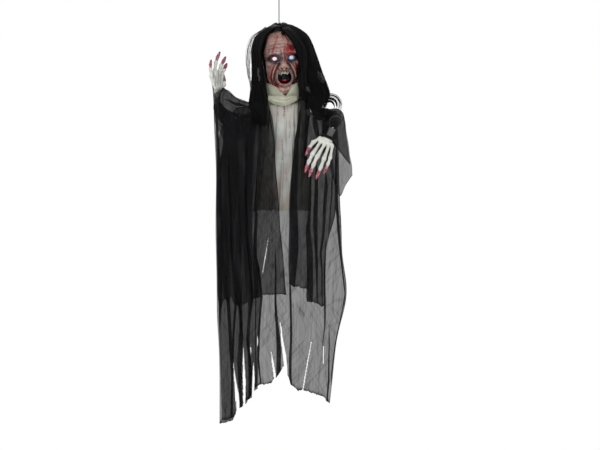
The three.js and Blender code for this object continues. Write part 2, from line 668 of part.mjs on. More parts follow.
function buildArm(side, sizes) {
  const path = armPath(side, sizes);
  const { shoulder, elbow, wrist, handAim } = path;
  const upperAim = v3().subVectors(elbow, shoulder).normalize();
  const foreAim = v3().subVectors(wrist, elbow).normalize();
  const bend = arm.padding * 0.6;
  const inPad = [
    shoulder.clone().addScaledVector(upperAim, arm.padStart),
    elbow.clone().addScaledVector(upperAim, -bend),
    elbow.clone().addScaledVector(upperAim, -bend * 0.3).addScaledVector(foreAim, bend * 0.3),
    elbow.clone().addScaledVector(foreAim, bend),
    wrist.clone().addScaledVector(foreAim, -arm.padEnd * 2.2),
    wrist.clone().addScaledVector(handAim, -arm.padEnd),
  ];
  const hubEdge = shoulder.clone().addScaledVector(upperAim, arm.hub / 4);
  const wireEnd = wrist.clone().addScaledVector(handAim, hand.bore - gap);
  const wirePath = new THREE.CatmullRomCurve3([hubEdge, ...inPad, wrist, wireEnd], false, 'centripetal');
  const stations = 20;
  const rings = (from, to, radiusAt, sides) => {
    const list = [];
    for (let i = from; i <= to; i += 1) list.push(ringAt(wirePath, i / stations, radiusAt(i), sides));
    return list;
  };
  const [first, last] = [inPad[0], inPad[inPad.length - 1]].map((p) =>
    Math.floor(nearestShare(wirePath, p) * stations),
  );
  const wire = solid(loft(rings(0, stations, () => arm.wire / 2, 6)));
  const hubForm = pillar(arm.hub / 2, arm.hubThickness, 16, shoulder, 'y');
  const hubHole = pillar(bolt.diameter / 2 + gap, arm.hubThickness + overrun, 12, shoulder, 'y');
  put(model, `arm_wire_${side}`, shape(wire.add(solid(hubForm)).subtract(solid(hubHole))), steel);
  const swell = (i) => (arm.padding / 2) * (i === last ? 0.62 : i === first ? 0.84 : 1);
  const outer = solid(loft(rings(first, last, swell, 12)));
  const bore = solid(loft(rings(first - 1, last + 1, () => arm.wire / 2 + 2 * gap, 6)));
  put(model, `arm_padding_${side}`, shape(outer.subtract(bore)), black);
  return path;
}

function nearestShare(curve, point) {
  let best = 0;
  for (let i = 0; i <= 400; i += 1) {
    const [now, kept] = [i / 400, best];
    if (curve.getPointAt(now).distanceTo(point) < curve.getPointAt(kept).distanceTo(point)) best = now;
  }
  return best;
}

function ringAt(curve, t, radius, sides) {
  const middle = curve.getPointAt(t);
  const along = curve.getTangentAt(t);
  const across = v3(0, 1, 0).cross(along).normalize();
  const up = v3().crossVectors(along, across);
  return Array.from({ length: sides }, (_, i) => {
    const a = (2 * Math.PI * i) / sides;
    const spot = middle.clone().addScaledVector(across, radius * Math.cos(a));
    return spot.addScaledVector(up, radius * Math.sin(a));
  });
}

// Fingers: joints as shares of the reach, thumb first. The palm faces -Y before the hand is set.
const fingerShares = [
  [[0.17, 0.0, 0.0], [0.26, 0.2, 0.02], [0.3, 0.37, 0.0], [0.29, 0.56, -0.05]],
  [[0.1, 0.0, 0.0], [0.14, 0.45, 0.03], [0.15, 0.66, 0.0], [0.148, 0.81, -0.06], [0.14, 0.945, -0.13]],
  [[0.02, 0.0, 0.0], [0.02, 0.47, 0.04], [0.015, 0.7, 0.0], [0.01, 0.86, -0.06], [0.0, 1.0, -0.13]],
  [[-0.07, 0.0, 0.0], [-0.11, 0.44, 0.03], [-0.15, 0.66, -0.01], [-0.175, 0.82, -0.07], [-0.19, 0.95, -0.14]],
  [[-0.15, 0, 0], [-0.21, 0.37, 0.01], [-0.26, 0.53, -0.02], [-0.285, 0.66, -0.06], [-0.305, 0.77, -0.11]],
];
const boneShares = [0.75, 0.6, 0.62, 1, 0.64, 0.6, 0.88, 0.56, 0.72, 0.46, 0.2];

function fingerForm(shares, thumbSide) {
  const joints = shares.map(([x, z, y]) => v3(x * thumbSide, y, z).multiplyScalar(hand.reach));
  for (const joint of joints) joint.z += hand.stub;
  const path = new THREE.CatmullRomCurve3(joints, false, 'centripetal');
  const scale = shares.length === 4 ? 1.05 : 1;
  const rings = boneShares.map((share, i) => {
    const radius = hand.bone * share * scale;
    return ringAt(path, i / (boneShares.length - 1), radius, 5);
  });
  return loft(rings);
}

const palmRingShares = [
  [0, 0.16, 0.16, 0],
  [0.1, 0.2, 0.18, 0],
  [0.28, 0.19, 0.17, 0],
  [0.5, 0.14, 0.14, 0],
  [0.72, 0.25, 0.15, 0],
  [0.94, 0.49, 0.14, 0],
  [1.12, 0.5, 0.13, 0.01],
  [1.3, 0.42, 0.12, 0.02],
];

function palmRing([z, x, y, shift], thumbSide, offset) {
  const sides = 12;
  return Array.from({ length: sides }, (_, i) => {
    const a = (2 * Math.PI * i) / sides;
    const wide = x * hand.fan + offset;
    const deep = y * hand.fan + offset;
    return v3(shift * hand.fan * thumbSide + wide * Math.cos(a), deep * Math.sin(a), z * hand.stub);
  });
}

function buildHand(side, path) {
  const thumbSide = side === 'right' ? 1 : -1;
  let form = solid(loft(palmRingShares.map((s) => palmRing(s, thumbSide, 0))));
  for (const shares of fingerShares) form = form.add(solid(fingerForm(shares, thumbSide)));
  const bore = pillar(arm.wire / 2 + gap, 2 * hand.bore, 10, v3(0, 0, 0));
  form = form.subtract(solid(bore));
  const along = path.handAim;
  const backward = v3(...palmAimShares[side]);
  backward.addScaledVector(along, -backward.dot(along)).normalize();
  const across = v3().crossVectors(backward, along);
  const pose = new THREE.Matrix4().makeBasis(across, backward, along).setPosition(path.wrist);
  put(model, `hand_${side}`, shape(form).applyMatrix4(pose), bone);
  if (side === 'right') return;
  const bandRingShares = [palmRingShares[4], palmRingShares[5], palmRingShares[6]];
  const [low, kink, high] = bandRingShares.map((s) => s[0]);
  const between = (p, q, z) => p.map((value, k) => value + ((z - p[0]) / (q[0] - p[0])) * (q[k] - value));
  const bandEnds = [
    between(bandRingShares[0], bandRingShares[1], kink - strap.width / hand.stub / 1.4),
    bandRingShares[1],
    between(bandRingShares[1], bandRingShares[2], kink + (high - kink) * 0.1),
  ];
  if (bandEnds[0][0] <= low) {
    bandEnds[0] = between(bandRingShares[0], bandRingShares[1], low + (kink - low) / 4);
  }
  const outer = solid(loft(bandEnds.map((s) => palmRing(s, thumbSide, clothGap + strap.thickness))));
  const inner = solid(loft(bandRingShares.map((s) => palmRing(s, thumbSide, clothGap))));
  put(model, 'wrist_band_left', shape(outer.subtract(inner)).applyMatrix4(pose), black);
}

const rightPath = buildArm('right', armRight);
const leftPath = buildArm('left', armLeft);
buildHand('right', rightPath);
buildHand('left', leftPath);

// Head: the mask in front of the ear line and the shell behind it, both hollow.
const splitY = head.depth * 0.08;
const neckCut = head.base - head.neckDrop;
const beyondHead = 2 * head.height;
const aboveNeck = block(beyondHead, beyondHead, beyondHead, v3(0, 0, neckCut + beyondHead / 2));
const headOuter = solid(headSurface(0, 21, 30)).intersect(aboveNeck);
const headInner = solid(headSurface(-head.wall, 12, 16));
const headShell = headOuter.subtract(headInner);
const frontHalf = block(beyondHead, beyondHead, beyondHead, v3(0, splitY - gap / 2 - beyondHead / 2, 0));
const backHalf = block(beyondHead, beyondHead, beyondHead, v3(0, splitY + gap / 2 + beyondHead / 2, 0));
const rodHole = solid(pillar(rod.diameter / 2 + gap, beyondHead, 12, v3(0, 0, beyondHead / 2)));

let mask = headShell.intersect(frontHalf).subtract(rodHole);
const eyeAt = (side) => placeInHead(eyeShares).multiply(v3(side, 1, 1));
const mouthAt = placeInHead(mouthShares);
const ellipsoid = (x, y, z, at, w = 20, h = 14) =>
  solid(new THREE.SphereGeometry(1, w, h).rotateX(Math.PI / 2).scale(x, y, z).translate(at.x, at.y, at.z));
for (const side of [-1, 1]) {
  const at = eyeAt(side);
  const lid = pillar(1, head.depth / 2, 18, v3(0, 0, 0), 'y').scale(eye.lidWidth / 2, 1, eye.lidHeight / 2);
  lid.translate(at.x, at.y - head.depth / 4, at.z);
  mask = mask.subtract(ellipsoid(eye.radius + gap, eye.radius + gap, eye.radius + gap, at));
  mask = mask.subtract(solid(lid));
}
const lips = pillar(1, head.depth / 2, 22, v3(0, 0, 0), 'y').scale(mouth.width / 2, 1, mouth.height / 2);
lips.translate(mouthAt.x, mouthAt.y - head.depth / 4, mouthAt.z);
mask = mask.subtract(solid(lips));
put(face, 'face_mask', shape(mask), skin);
put(face, 'head_back_shell', shape(headShell.intersect(backHalf).subtract(rodHole)), skin);

for (const [name, side] of [['right', -1], ['left', 1]]) {
  const at = eyeAt(side);
  const seat = v3(at.x, at.y + eye.radius - led.seat + led.length / 2, at.z);
  const pocket = solid(pillar(led.diameter / 2 + gap, led.length + gap * 2, 10, seat, 'y'));
  const ball = ellipsoid(eye.radius, eye.radius, eye.radius, at, 12, 8).subtract(pocket);
  put(face, `eyeball_${name}`, shape(ball), finish(0xdfe4ee, 0.2));
  put(face, `eye_led_${name}`, pillar(led.diameter / 2, led.length, 10, seat, 'y'), finish(0xf4f0ff, 0.3));
}

// Mouth: a cup behind the lips that follows the inside of the mask, with teeth and tongue in it.
const inMask = solid(headSurface(-head.wall - gap, 12, 16));
const cupSize = v3(mouth.width / 2 + mouth.wall * 2, mouth.depth, mouth.height / 2 + mouth.wall * 2);
const throat = (clearance) => {
  const [a, b, c] = [cupSize.x - clearance, cupSize.y - clearance, cupSize.z - clearance];
  const way = pillar(1, head.depth / 2, 14, v3(0, 0, 0), 'y').scale(a, 1, c);
  way.translate(mouthAt.x, mouthAt.y - head.depth / 4, mouthAt.z);
  return ellipsoid(a, b, c, mouthAt, 14, 8).add(solid(way));
};
const cup = throat(0).intersect(inMask).subtract(throat(mouth.wall));
put(face, 'mouth_liner', shape(cup), finish(0x120a0c, 0.6));
const content = throat(mouth.wall + gap).intersect(inMask);
const gumTop = mouthAt.z + mouth.height / 2;
const gumY = mouthAt.y - mouth.depth * 0.42;
let teeth = block(mouth.width, tooth.thickness, tooth.gum * 2, v3(0, gumY, gumTop));
for (let i = -2.5; i <= 2.5; i += 1) {
  const long = Math.abs(i) === 1.5 ? tooth.fang : tooth.height;
  const cone = new THREE.CylinderGeometry(tooth.width / 2, tooth.width / 5, long + tooth.gum, 6);
  cone.rotateX(Math.PI / 2).translate(i * tooth.width * 0.96, gumY, gumTop - (long + tooth.gum) / 2);
  teeth = teeth.add(solid(cone));
}
put(face, 'upper_teeth', shape(teeth.intersect(content)), finish(0xd9d2b8, 0.4));
const tongueAt = v3(0, mouthAt.y - mouth.depth * 0.12, mouthAt.z - mouth.height * 0.42);
const tongue = ellipsoid(mouth.width * 0.3, mouth.depth * 0.62, mouth.height * 0.24, tongueAt, 14, 8);
put(face, 'tongue', shape(tongue.intersect(content)), finish(0x7a2430, 0.4));

// Wig: a cap over the skull that leaves the face free, and the long falls that hang from it.
const capForm = solid(headSurface(hair.cap, 14, 20));
const capSeat = solid(headSurface(clothGap, 21, 30));
const faceOpening = pillar(1, head.depth, 24, v3(0, 0, 0), 'y');
faceOpening.scale(head.width * 0.44, 1, head.height * 0.47);
faceOpening.translate(0, -head.depth / 2 - head.depth * 0.04, head.base + head.height * 0.44);
const capLowAt = v3(0, 0, head.base + head.height * 0.3 - beyondHead / 2);
const capLow = block(beyondHead, beyondHead, beyondHead, capLowAt);
const eyeClearAt = v3(0, 0, head.base + head.height * 0.8 + beyondHead / 2);
const eyeClear = solid(pillar(rod.eyeWidth / 2 + gap, beyondHead, 14, eyeClearAt));
const cap = capForm.subtract(capSeat).subtract(solid(faceOpening)).subtract(capLow).subtract(eyeClear);
put(face, 'wig_cap', shape(cap), hairBlack);

// Each fall is lofted down a path; every ring is [x, y, z, half width, half depth] in head shares.
const fallShares = {
  hair_right: [
    [-0.42, -0.16, 0.9, 0.1, 0.08], [-0.52, -0.2, 0.8, 0.13, 0.11], [-0.57, -0.17, 0.62, 0.13, 0.14],
    [-0.56, -0.12, 0.42, 0.13, 0.16], [-0.57, -0.12, 0.22, 0.14, 0.17], [-0.62, -0.28, 0.04, 0.15, 0.12],
    [-0.63, -0.42, -0.1, 0.17, 0.07], [-0.6, -0.46, -0.3, 0.14, 0.05], [-0.56, -0.47, -0.46, 0.08, 0.03],
  ],
  hair_left: [
    [0.3, -0.24, 0.93, 0.14, 0.08], [0.46, -0.26, 0.82, 0.16, 0.1], [0.55, -0.22, 0.66, 0.17, 0.12],
    [0.6, -0.16, 0.46, 0.2, 0.16], [0.68, -0.16, 0.26, 0.22, 0.17], [0.74, -0.28, 0.06, 0.24, 0.12],
    [0.76, -0.42, -0.08, 0.24, 0.07], [0.74, -0.46, -0.22, 0.22, 0.05], [0.66, -0.47, -0.4, 0.12, 0.03],
  ],
  hair_back: [
    [0, 0.52, 0.82, 0.3, 0.1], [0, 0.58, 0.64, 0.42, 0.11], [0, 0.57, 0.44, 0.5, 0.13],
    [0, 0.52, 0.22, 0.55, 0.14], [0, 0.49, 0.02, 0.58, 0.11], [0, 0.475, -0.2, 0.58, 0.07],
    [0, 0.46, -0.42, 0.52, 0.05], [0, 0.45, -0.6, 0.4, 0.035],
  ],
};
const capOver = solid(headSurface(hair.cap + clothGap, 14, 20));
for (const [name, shares] of Object.entries(fallShares)) {
  const rings = shares.map(([x, y, z, wide, deep]) => {
    const middle = placeInHead([x, y, z]);
    const [a, b] = [wide * head.width, deep * head.depth];
    const sides = 20;
    return Array.from({ length: sides }, (_, i) => {
      const t = (2 * Math.PI * i) / sides;
      const lock = 1 - 0.12 * (i % 2) * Math.min(1, 1.2 - z);
      return middle.clone().add(v3(a * Math.cos(t) * lock, b * Math.sin(t) * lock, 0));
    });
  });
  const fall = solid(loft(rings)).subtract(capOver);
  const parts = fall.decompose().sort((p, q) => q.volume() - p.volume());
  put(face, name, shape(parts[0]), hairBlack);
}

// Collar, cravat and shirt.
const neckAt = toWorld(0, 0, boxTop + box.drop);
const collarTopShares = [1, 1, 0.98, 0.95, 0.92, 0.66, 0.42, 0.25];
const collarFoot = neckAt.z + flangeTop - spindle.flangeHeight - clothGap;
const cravatSeat = collar.radius + collar.thickness + clothGap + (collar.flare * cravat.tuck) / collar.height;
function around(radius, angle, z) {
  return v3(neckAt.x + radius * Math.sin(angle), -radius * Math.cos(angle), z);
}
const collarRows = [];
for (let j = 0; j <= 4; j += 1) {
  const row = [];
  for (let i = 0; i <= 22; i += 1) {
    const u = (i / 22) * 2 - 1;
    const angle = -u * Math.PI * 0.985;
    const span = (1 - Math.abs(angle) / Math.PI) * (collarTopShares.length - 1);
    const k = Math.min(Math.floor(span), collarTopShares.length - 2);
    const top = THREE.MathUtils.lerp(collarTopShares[k], collarTopShares[k + 1], span - k);
    const rise = top * collar.height * (1 - j / 4);
    row.push(around(collar.radius + (collar.flare * rise) / collar.height, angle, collarFoot + rise));
  }
  collarRows.push(row.reverse());
}
put(model, 'shirt_collar', cloth(collarRows, collar.thickness), cream);

const cravatRows = [];
for (let j = 0; j <= 6; j += 1) {
  const row = [];
  for (let i = 0; i <= 16; i += 1) {
    const u = (i / 16) * 2 - 1;
    const v = j / 6;
    const middle = 1 - u * u;
    const bulge = cravat.bulge * Math.sin(0.9 * Math.PI * v) * (0.5 + 0.5 * middle);
    const pleat = cravat.thickness * 0.4 * Math.sin(5 * Math.PI * u + v) * v;
    const fall = v * cravat.height * (0.6 + 0.4 * middle);
    const forward = cravatSeat * (1 - 0.12 * u * u) + bulge + pleat;
    const across = neckAt.x - cravat.shift + u * collar.radius * 0.95;
    row.push(v3(across, -forward, collarFoot + cravat.tuck - fall));
  }
  cravatRows.push(row);
}
put(model, 'cravat', cloth(cravatRows, cravat.thickness), cream);

const yokeTopAt = (x) => {
  const slope = Math.max(0, Math.abs(x) - yokeFlat) / (yokeEdge - yokeFlat);
  return yokeFloor + yoke.thickness - yokeSag * Math.pow(slope, 1.3);
};
const shirtRowShares = [[0, 0], [0.004, 0.3], [0.014, 0.8], [0.035, 1], [0.3, 1], [0.65, 1], [1, 1]];
function shirtRows(side) {
  const edge = yoke.depth / 2 - yoke.thickness;
  const front = box.depth / 2 + clothGap * 3 + shirt.pleatDepth + shirt.thickness;
  const topHalf = yoke.reach - yoke.thickness;
  const widths = Array.from({ length: 17 }, (_, i) => (i / 16) * 2 - 1);
  return shirtRowShares.map(([down, out]) => {
    const row = widths.map((u) => {
      const top = toWorld(u * topHalf, 0, yokeTopAt(u * topHalf) + clothGap * 2);
      const pleat = shirt.pleatDepth * Math.max(0, out - 0.5) * 2 * Math.sin(4.5 * Math.PI * u + down * 1.3);
      const spread = u * (shirt.width / 2 - topHalf) * down - shirt.shift * down;
      const away = THREE.MathUtils.lerp(edge, front, out) + pleat;
      return v3(top.x + spread, side * away, top.z - shirt.drop * down);
    });
    return side < 0 ? row : row.reverse();
  });
}
put(model, 'shirt_front', cloth(shirtRows(-1), shirt.thickness), linen);
put(model, 'shirt_back', cloth(shirtRows(1), shirt.thickness), linen);

// Robe: nets of [x, y, z] in shares of its span, depth and drop, smoothed and folded.
const robeTop = neckAt.z + boxTop + yoke.thickness;
const robeSpan = neckAt.x - rightPath.wrist.x;
function netPoint(net, u, v) {
  const line = (row) => new THREE.CatmullRomCurve3(row.map((s) => v3(...s))).getPoint(u);
  const columns = new THREE.CatmullRomCurve3(net.map(line));
  return columns.getPoint(v);
}
function drape(net, { folds, across, down, grow = 1 }) {
  const rows = [];
  for (let j = 0; j <= down; j += 1) {
    const row = [];
    for (let i = 0; i <= across; i += 1) {
      const [u, v] = [i / across, j / down];
      const share = netPoint(net, u, v);
      const deep = robe.foldDepth * Math.min(1, 0.25 + v * 2) * grow;
      const wave = deep * Math.sin(2 * Math.PI * folds * u + 2.2 * v) * Math.sin(Math.PI * u) ** 0.3;
      const y = share.y * robe.depth + (u > 0 && u < 1 ? wave : 0);
      row.push(v3(neckAt.x + share.x * robeSpan, y, robeTop - share.z * robe.drop));
    }
    rows.push(row);
  }
  return rows;
}
const robeShares = {
  robe_front_right: [
    [
      [-1.076, -1.025, -0.056], [-0.951, -1, -0.037], [-0.817, -0.85, -0.015],
      [-0.668, -0.8, 0.007], [-0.504, -0.78, 0.01],
    ],
    [
      [-1.051, -0.97, 0.047], [-0.877, -0.98, 0.053], [-0.713, -0.96, 0.059],
      [-0.549, -0.95, 0.063], [-0.385, -0.96, 0.059],
    ],
    [
      [-1.029, -0.78, 0.318], [-0.847, -0.86, 0.318], [-0.668, -0.9, 0.318],
      [-0.49, -0.93, 0.318], [-0.326, -0.95, 0.318],
    ],
    [
      [-0.996, -0.66, 0.613], [-0.817, -0.76, 0.613], [-0.653, -0.82, 0.613],
      [-0.49, -0.86, 0.613], [-0.326, -0.88, 0.613],
    ],
    [
      [-0.966, -0.5, 0.997], [-0.728, -0.6, 0.961], [-0.579, -0.68, 0.93],
      [-0.46, -0.74, 0.896], [-0.311, -0.78, 0.877],
    ],
  ],
  robe_lining_right: [
    [
      [-0.728, -0.72, 0.016], [-0.609, -0.7, 0.013], [-0.49, -0.68, 0.007],
      [-0.385, -0.7, -0.003], [-0.281, -0.72, -0.012],
    ],
    [
      [-0.787, -0.82, 0.059], [-0.624, -0.83, 0.063], [-0.46, -0.85, 0.063],
      [-0.311, -0.86, 0.063], [-0.172, -0.88, 0.063],
    ],
    [
      [-0.877, -0.74, 0.33], [-0.668, -0.76, 0.33], [-0.46, -0.78, 0.33],
      [-0.266, -0.8, 0.33], [-0.087, -0.82, 0.33],
    ],
    [
      [-0.966, -0.56, 0.635], [-0.758, -0.62, 0.628], [-0.549, -0.66, 0.61],
      [-0.281, -0.7, 0.597], [0.026, -0.74, 0.596],
    ],
  ],
  robe_front_left: [
    [
      [0.198, -0.715, -0.009], [0.3, -0.695, -0.003], [0.389, -0.66, 0.004],
      [0.493, -0.62, 0.013], [0.583, -0.58, 0.022],
    ],
    [
      [0.181, -0.9, 0.069], [0.27, -0.86, 0.069], [0.359, -0.79, 0.069],
      [0.449, -0.72, 0.069], [0.538, -0.66, 0.069],
    ],
    [
      [0.061, -0.92, 0.33], [0.24, -0.84, 0.33], [0.434, -0.72, 0.33],
      [0.612, -0.6, 0.33], [0.791, -0.48, 0.324],
    ],
    [
      [0.061, -0.9, 0.457], [0.21, -0.84, 0.457], [0.359, -0.74, 0.457],
      [0.493, -0.66, 0.457], [0.627, -0.58, 0.457],
    ],
    [
      [0.076, -0.88, 0.566], [0.21, -0.82, 0.579], [0.344, -0.74, 0.601],
      [0.463, -0.66, 0.622], [0.59, -0.58, 0.635],
    ],
  ],
  robe_back: [
    [
      [-0.802, 0.53, 0.056], [-0.4, 0.685, 0.032], [0.002, 0.715, 0.013],
      [0.389, 0.685, 0.032], [0.717, 0.53, 0.05],
    ],
    [
      [-0.981, 0.66, 0.097], [-0.46, 0.84, 0.097], [0.002, 0.88, 0.097],
      [0.449, 0.84, 0.097], [0.791, 0.66, 0.097],
    ],
    [
      [-1.011, 0.66, 0.33], [-0.475, 0.84, 0.33], [0.002, 0.88, 0.33],
      [0.463, 0.84, 0.33], [0.836, 0.66, 0.33],
    ],
    [
      [-0.996, 0.6, 0.613], [-0.49, 0.74, 0.613], [-0.013, 0.8, 0.613],
      [0.463, 0.74, 0.613], [0.91, 0.6, 0.601],
    ],
    [
      [-0.973, 0.5, 0.983], [-0.519, 0.6, 0.915], [-0.028, 0.66, 0.818],
      [0.3, 0.6, 0.896], [0.672, 0.5, 0.933],
    ],
  ],
  sleeve_wing_left: [
    [
      [0.56, 0.26, 0.02], [0.68, 0.245, 0.02], [0.78, 0.245, 0.02],
      [0.86, 0.295, 0.03], [0.9, 0.325, 0.06],
    ],
    [
      [0.55, 0.46, 0.08], [0.68, 0.46, 0.09], [0.79, 0.45, 0.1],
      [0.88, 0.44, 0.11], [0.95, 0.44, 0.13],
    ],
    [
      [0.56, 0.45, 0.16], [0.69, 0.44, 0.19], [0.8, 0.44, 0.21],
      [0.91, 0.43, 0.22], [0.99, 0.42, 0.23],
    ],
  ],
};
const sheets = {
  robe_front_right: drape(robeShares.robe_front_right, { folds: 4, across: 16, down: 7 }),
  robe_lining_right: drape(robeShares.robe_lining_right, { folds: 4, across: 16, down: 5 }),
  robe_front_left: drape(robeShares.robe_front_left, { folds: 4, across: 16, down: 6 }),
  robe_back: drape(robeShares.robe_back, { folds: 5, across: 20, down: 7 }),
  sleeve_wing_left: drape(robeShares.sleeve_wing_left, { folds: 2, across: 8, down: 5, grow: 0.4 }),
};
for (const [name, rows] of Object.entries(sheets)) put(model, name, cloth(rows, robe.thickness), black);

export default model;
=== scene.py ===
"""A hanging animated ghost figure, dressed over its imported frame.

Metres, +Z up; the figure faces -Y and hangs from the origin. Lengths in tables are
millimetres, and places that were read in the photograph's frame are pixels of a
600 x 450 picture, turned into metres by at().
"""

import json
import math

import bmesh
import bpy
import numpy as np
from mathutils import Matrix, Vector


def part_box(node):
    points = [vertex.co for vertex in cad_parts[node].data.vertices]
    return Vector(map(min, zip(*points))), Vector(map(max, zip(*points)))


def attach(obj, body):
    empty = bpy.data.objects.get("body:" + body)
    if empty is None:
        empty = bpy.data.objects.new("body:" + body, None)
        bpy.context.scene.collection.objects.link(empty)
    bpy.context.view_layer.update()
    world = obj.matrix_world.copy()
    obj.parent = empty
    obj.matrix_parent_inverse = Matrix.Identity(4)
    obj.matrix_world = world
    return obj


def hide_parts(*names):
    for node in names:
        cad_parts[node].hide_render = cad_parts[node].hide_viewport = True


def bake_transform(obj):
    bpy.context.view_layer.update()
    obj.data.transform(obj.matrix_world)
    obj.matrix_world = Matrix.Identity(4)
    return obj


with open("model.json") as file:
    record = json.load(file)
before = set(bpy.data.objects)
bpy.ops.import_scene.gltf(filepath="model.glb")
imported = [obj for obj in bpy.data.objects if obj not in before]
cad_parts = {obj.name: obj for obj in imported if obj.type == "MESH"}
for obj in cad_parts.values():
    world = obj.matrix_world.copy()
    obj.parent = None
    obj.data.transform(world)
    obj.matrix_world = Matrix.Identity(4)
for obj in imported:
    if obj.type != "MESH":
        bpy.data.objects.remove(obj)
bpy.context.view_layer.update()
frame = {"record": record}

MM = 0.001
PIXEL = 0.002363
PICTURE = (600, 450)
CORD_PIXEL = 279
TOP_MARGIN = 8
# A wave texture at a scale of 1 / (size * WAVE) repeats about every two sizes.
WAVE = 6.283


def at(px, py, y=0.0):
    """The place in the frame of a pixel, at a depth y in metres."""
    return ((px - CORD_PIXEL) * PIXEL, y, -(py + TOP_MARGIN) * PIXEL)


# Camera: a long lens, level, square on to the figure.
lens_distance = 10.0
sensor = 36
aim = at(PICTURE[0] / 2, PICTURE[1] / 2)
camera = bpy.data.objects.new("camera", bpy.data.cameras.new("camera"))
camera.location = (aim[0], -lens_distance, aim[2])
camera.rotation_euler = (math.pi / 2, 0, 0)
camera.data.sensor_width = sensor
camera.data.lens = sensor * lens_distance / (PICTURE[0] * PIXEL)
camera.data.clip_end = 6 * lens_distance
bpy.context.collection.objects.link(camera)
bpy.context.scene.camera = camera


# Materials.


def linear(code):
    """An sRGB hex colour as the linear colour that a shader takes."""
    parts = [int(code[i : i + 2], 16) / 255 for i in (1, 3, 5)]
    return [p / 12.92 if p <= 0.04045 else ((p + 0.055) / 1.055) ** 2.4 for p in parts] + [1.0]


def add(tree, kind, inputs=None, **settings):
    """A node with its settings, each input linked or set."""
    made = tree.nodes.new(kind)
    for key, value in settings.items():
        setattr(made, key, value)
    for key, value in (inputs or {}).items():
        if isinstance(value, bpy.types.NodeSocket):
            tree.links.new(value, made.inputs[key])
        else:
            made.inputs[key].default_value = value
    return made


def substance(name, **sockets):
    """A new material: its node tree, its shader, and the object's own coordinates in metres."""
    material = bpy.data.materials.new(name)
    material.use_nodes = True
    tree = material.node_tree
    shader = tree.nodes["Principled BSDF"]
    for key, value in sockets.items():
        socket = shader.inputs[key.replace("_", " ")]
        socket.default_value = linear(value) if isinstance(value, str) else value
    place = add(tree, "ShaderNodeTexCoord").outputs["Object"]
    return material, tree, shader, place


def pebble(tree, shader, place, grain_mm, height_mm, detail=3):
    """A fine irregular surface: grain_mm across and height_mm high."""
    grain = {"Vector": place, "Scale": 1 / (grain_mm * MM), "Detail": detail}
    noise = add(tree, "ShaderNodeTexNoise", grain).outputs["Fac"]
    bump = add(tree, "ShaderNodeBump", {"Height": noise, "Strength": 0.6, "Distance": height_mm * MM})
    tree.links.new(bump.outputs["Normal"], shader.inputs["Normal"])


def clouded(tree, place, size_mm, low, high, colours, detail=4, stretch=(1, 1, 1)):
    """Two or more colours that drift into each other over size_mm."""
    stretched = add(tree, "ShaderNodeMapping", {"Vector": place, "Scale": stretch}).outputs["Vector"]
    drift = {"Vector": stretched, "Scale": 1 / (size_mm * MM), "Detail": detail}
    noise = add(tree, "ShaderNodeTexNoise", drift).outputs["Fac"]
    ramp = add(tree, "ShaderNodeValToRGB", {"Fac": noise})
    stops = ramp.color_ramp.elements
    while len(stops) < len(colours):
        stops.new(0.5)
    for i, colour in enumerate(colours):
        stops[i].position = low + (high - low) * i / (len(colours) - 1)
        stops[i].color = linear(colour)
    return ramp.outputs["Color"]


def painted(tree, base, layers):
    """Paint over a base colour: each layer is (attribute name, colour, strength)."""
    for name, colour, strength in layers:
        mask = add(tree, "ShaderNodeAttribute", attribute_name=name).outputs["Fac"]
        share = add(tree, "ShaderNodeMath", {0: mask, 1: strength}, operation="MULTIPLY", use_clamp=True)
        paints = {0: share.outputs[0], 6: base, 7: linear(colour)}
        base = add(tree, "ShaderNodeMix", paints, data_type="RGBA").outputs[2]
    return base


def spattered(tree, place, base, mask_name, colour, grain_mm, low, high, detail=4):
    """A colour over the base that breaks into specks where its mask fades, and how much shows."""
    specks = {"Vector": place, "Scale": 1 / (grain_mm * MM), "Detail": detail}
    speckle = add(tree, "ShaderNodeTexNoise", specks).outputs["Fac"]
    mask = add(tree, "ShaderNodeAttribute", attribute_name=mask_name).outputs["Fac"]
    broken = add(tree, "ShaderNodeMath", {0: mask, 1: speckle}, operation="ADD").outputs[0]
    shows = add(tree, "ShaderNodeMapRange", {"Value": broken, 1: low, 2: high}).outputs[0]
    return add(tree, "ShaderNodeMix", {0: shows, 6: base, 7: colour}, data_type="RGBA").outputs[2], shows


def finish(name, cloud, grain, stretch=(1, 1, 1), layers=(), **sockets):
    """A clouded, painted and pebbled material: cloud is (mm, low, high, colours), grain is in mm."""
    material, tree, shader, place = substance(name, **sockets)
    coat = clouded(tree, place, *cloud, stretch=stretch)
    tree.links.new(painted(tree, coat, layers), shader.inputs["Base Color"])
    pebble(tree, shader, place, *grain)
    return material


# Zinc-plated steel wire and rod: drawn, so a soft sheen with dull patches.
steel_cloud = (6, 0.35, 0.7, ["#9aa0a5", "#b4b8bb", "#c3c6c8"])
zinc_steel = finish("zinc_plated_steel", steel_cloud, (1.2, 0.05), Metallic=1.0, Roughness=0.38)

# Moulded ABS: near black, with the fine spark grain of its mould.
black_cloud = (18, 0.4, 0.65, ["#1b1b1e", "#232326"])
black_abs = finish("moulded_black_abs", black_cloud, (0.7, 0.06), Roughness=0.5, IOR=1.53)

# Natural nylon gears: milky, a little waxy.
nylon_cloud = (9, 0.35, 0.7, ["#d9d3c4", "#e6e1d4"])
nylon = finish("moulded_natural_nylon", nylon_cloud, (2, 0.04), Roughness=0.42, IOR=1.53)

# Red ABS push button: glossy, with a faint wear haze.
red_cloud = (4, 0.4, 0.7, ["#a3191c", "#b32326"])
red_abs = finish("moulded_red_abs", red_cloud, (0.9, 0.03), Roughness=0.3, IOR=1.53)

# Solder mask over glass laminate: green with darker copper-free lanes.
mask_cloud = (3, 0.45, 0.55, ["#1f5a34", "#2f7a48"])
solder_mask = finish("solder_mask_laminate", mask_cloud, (1.5, 0.05), (1, 1, 4), Roughness=0.35, IOR=1.5)

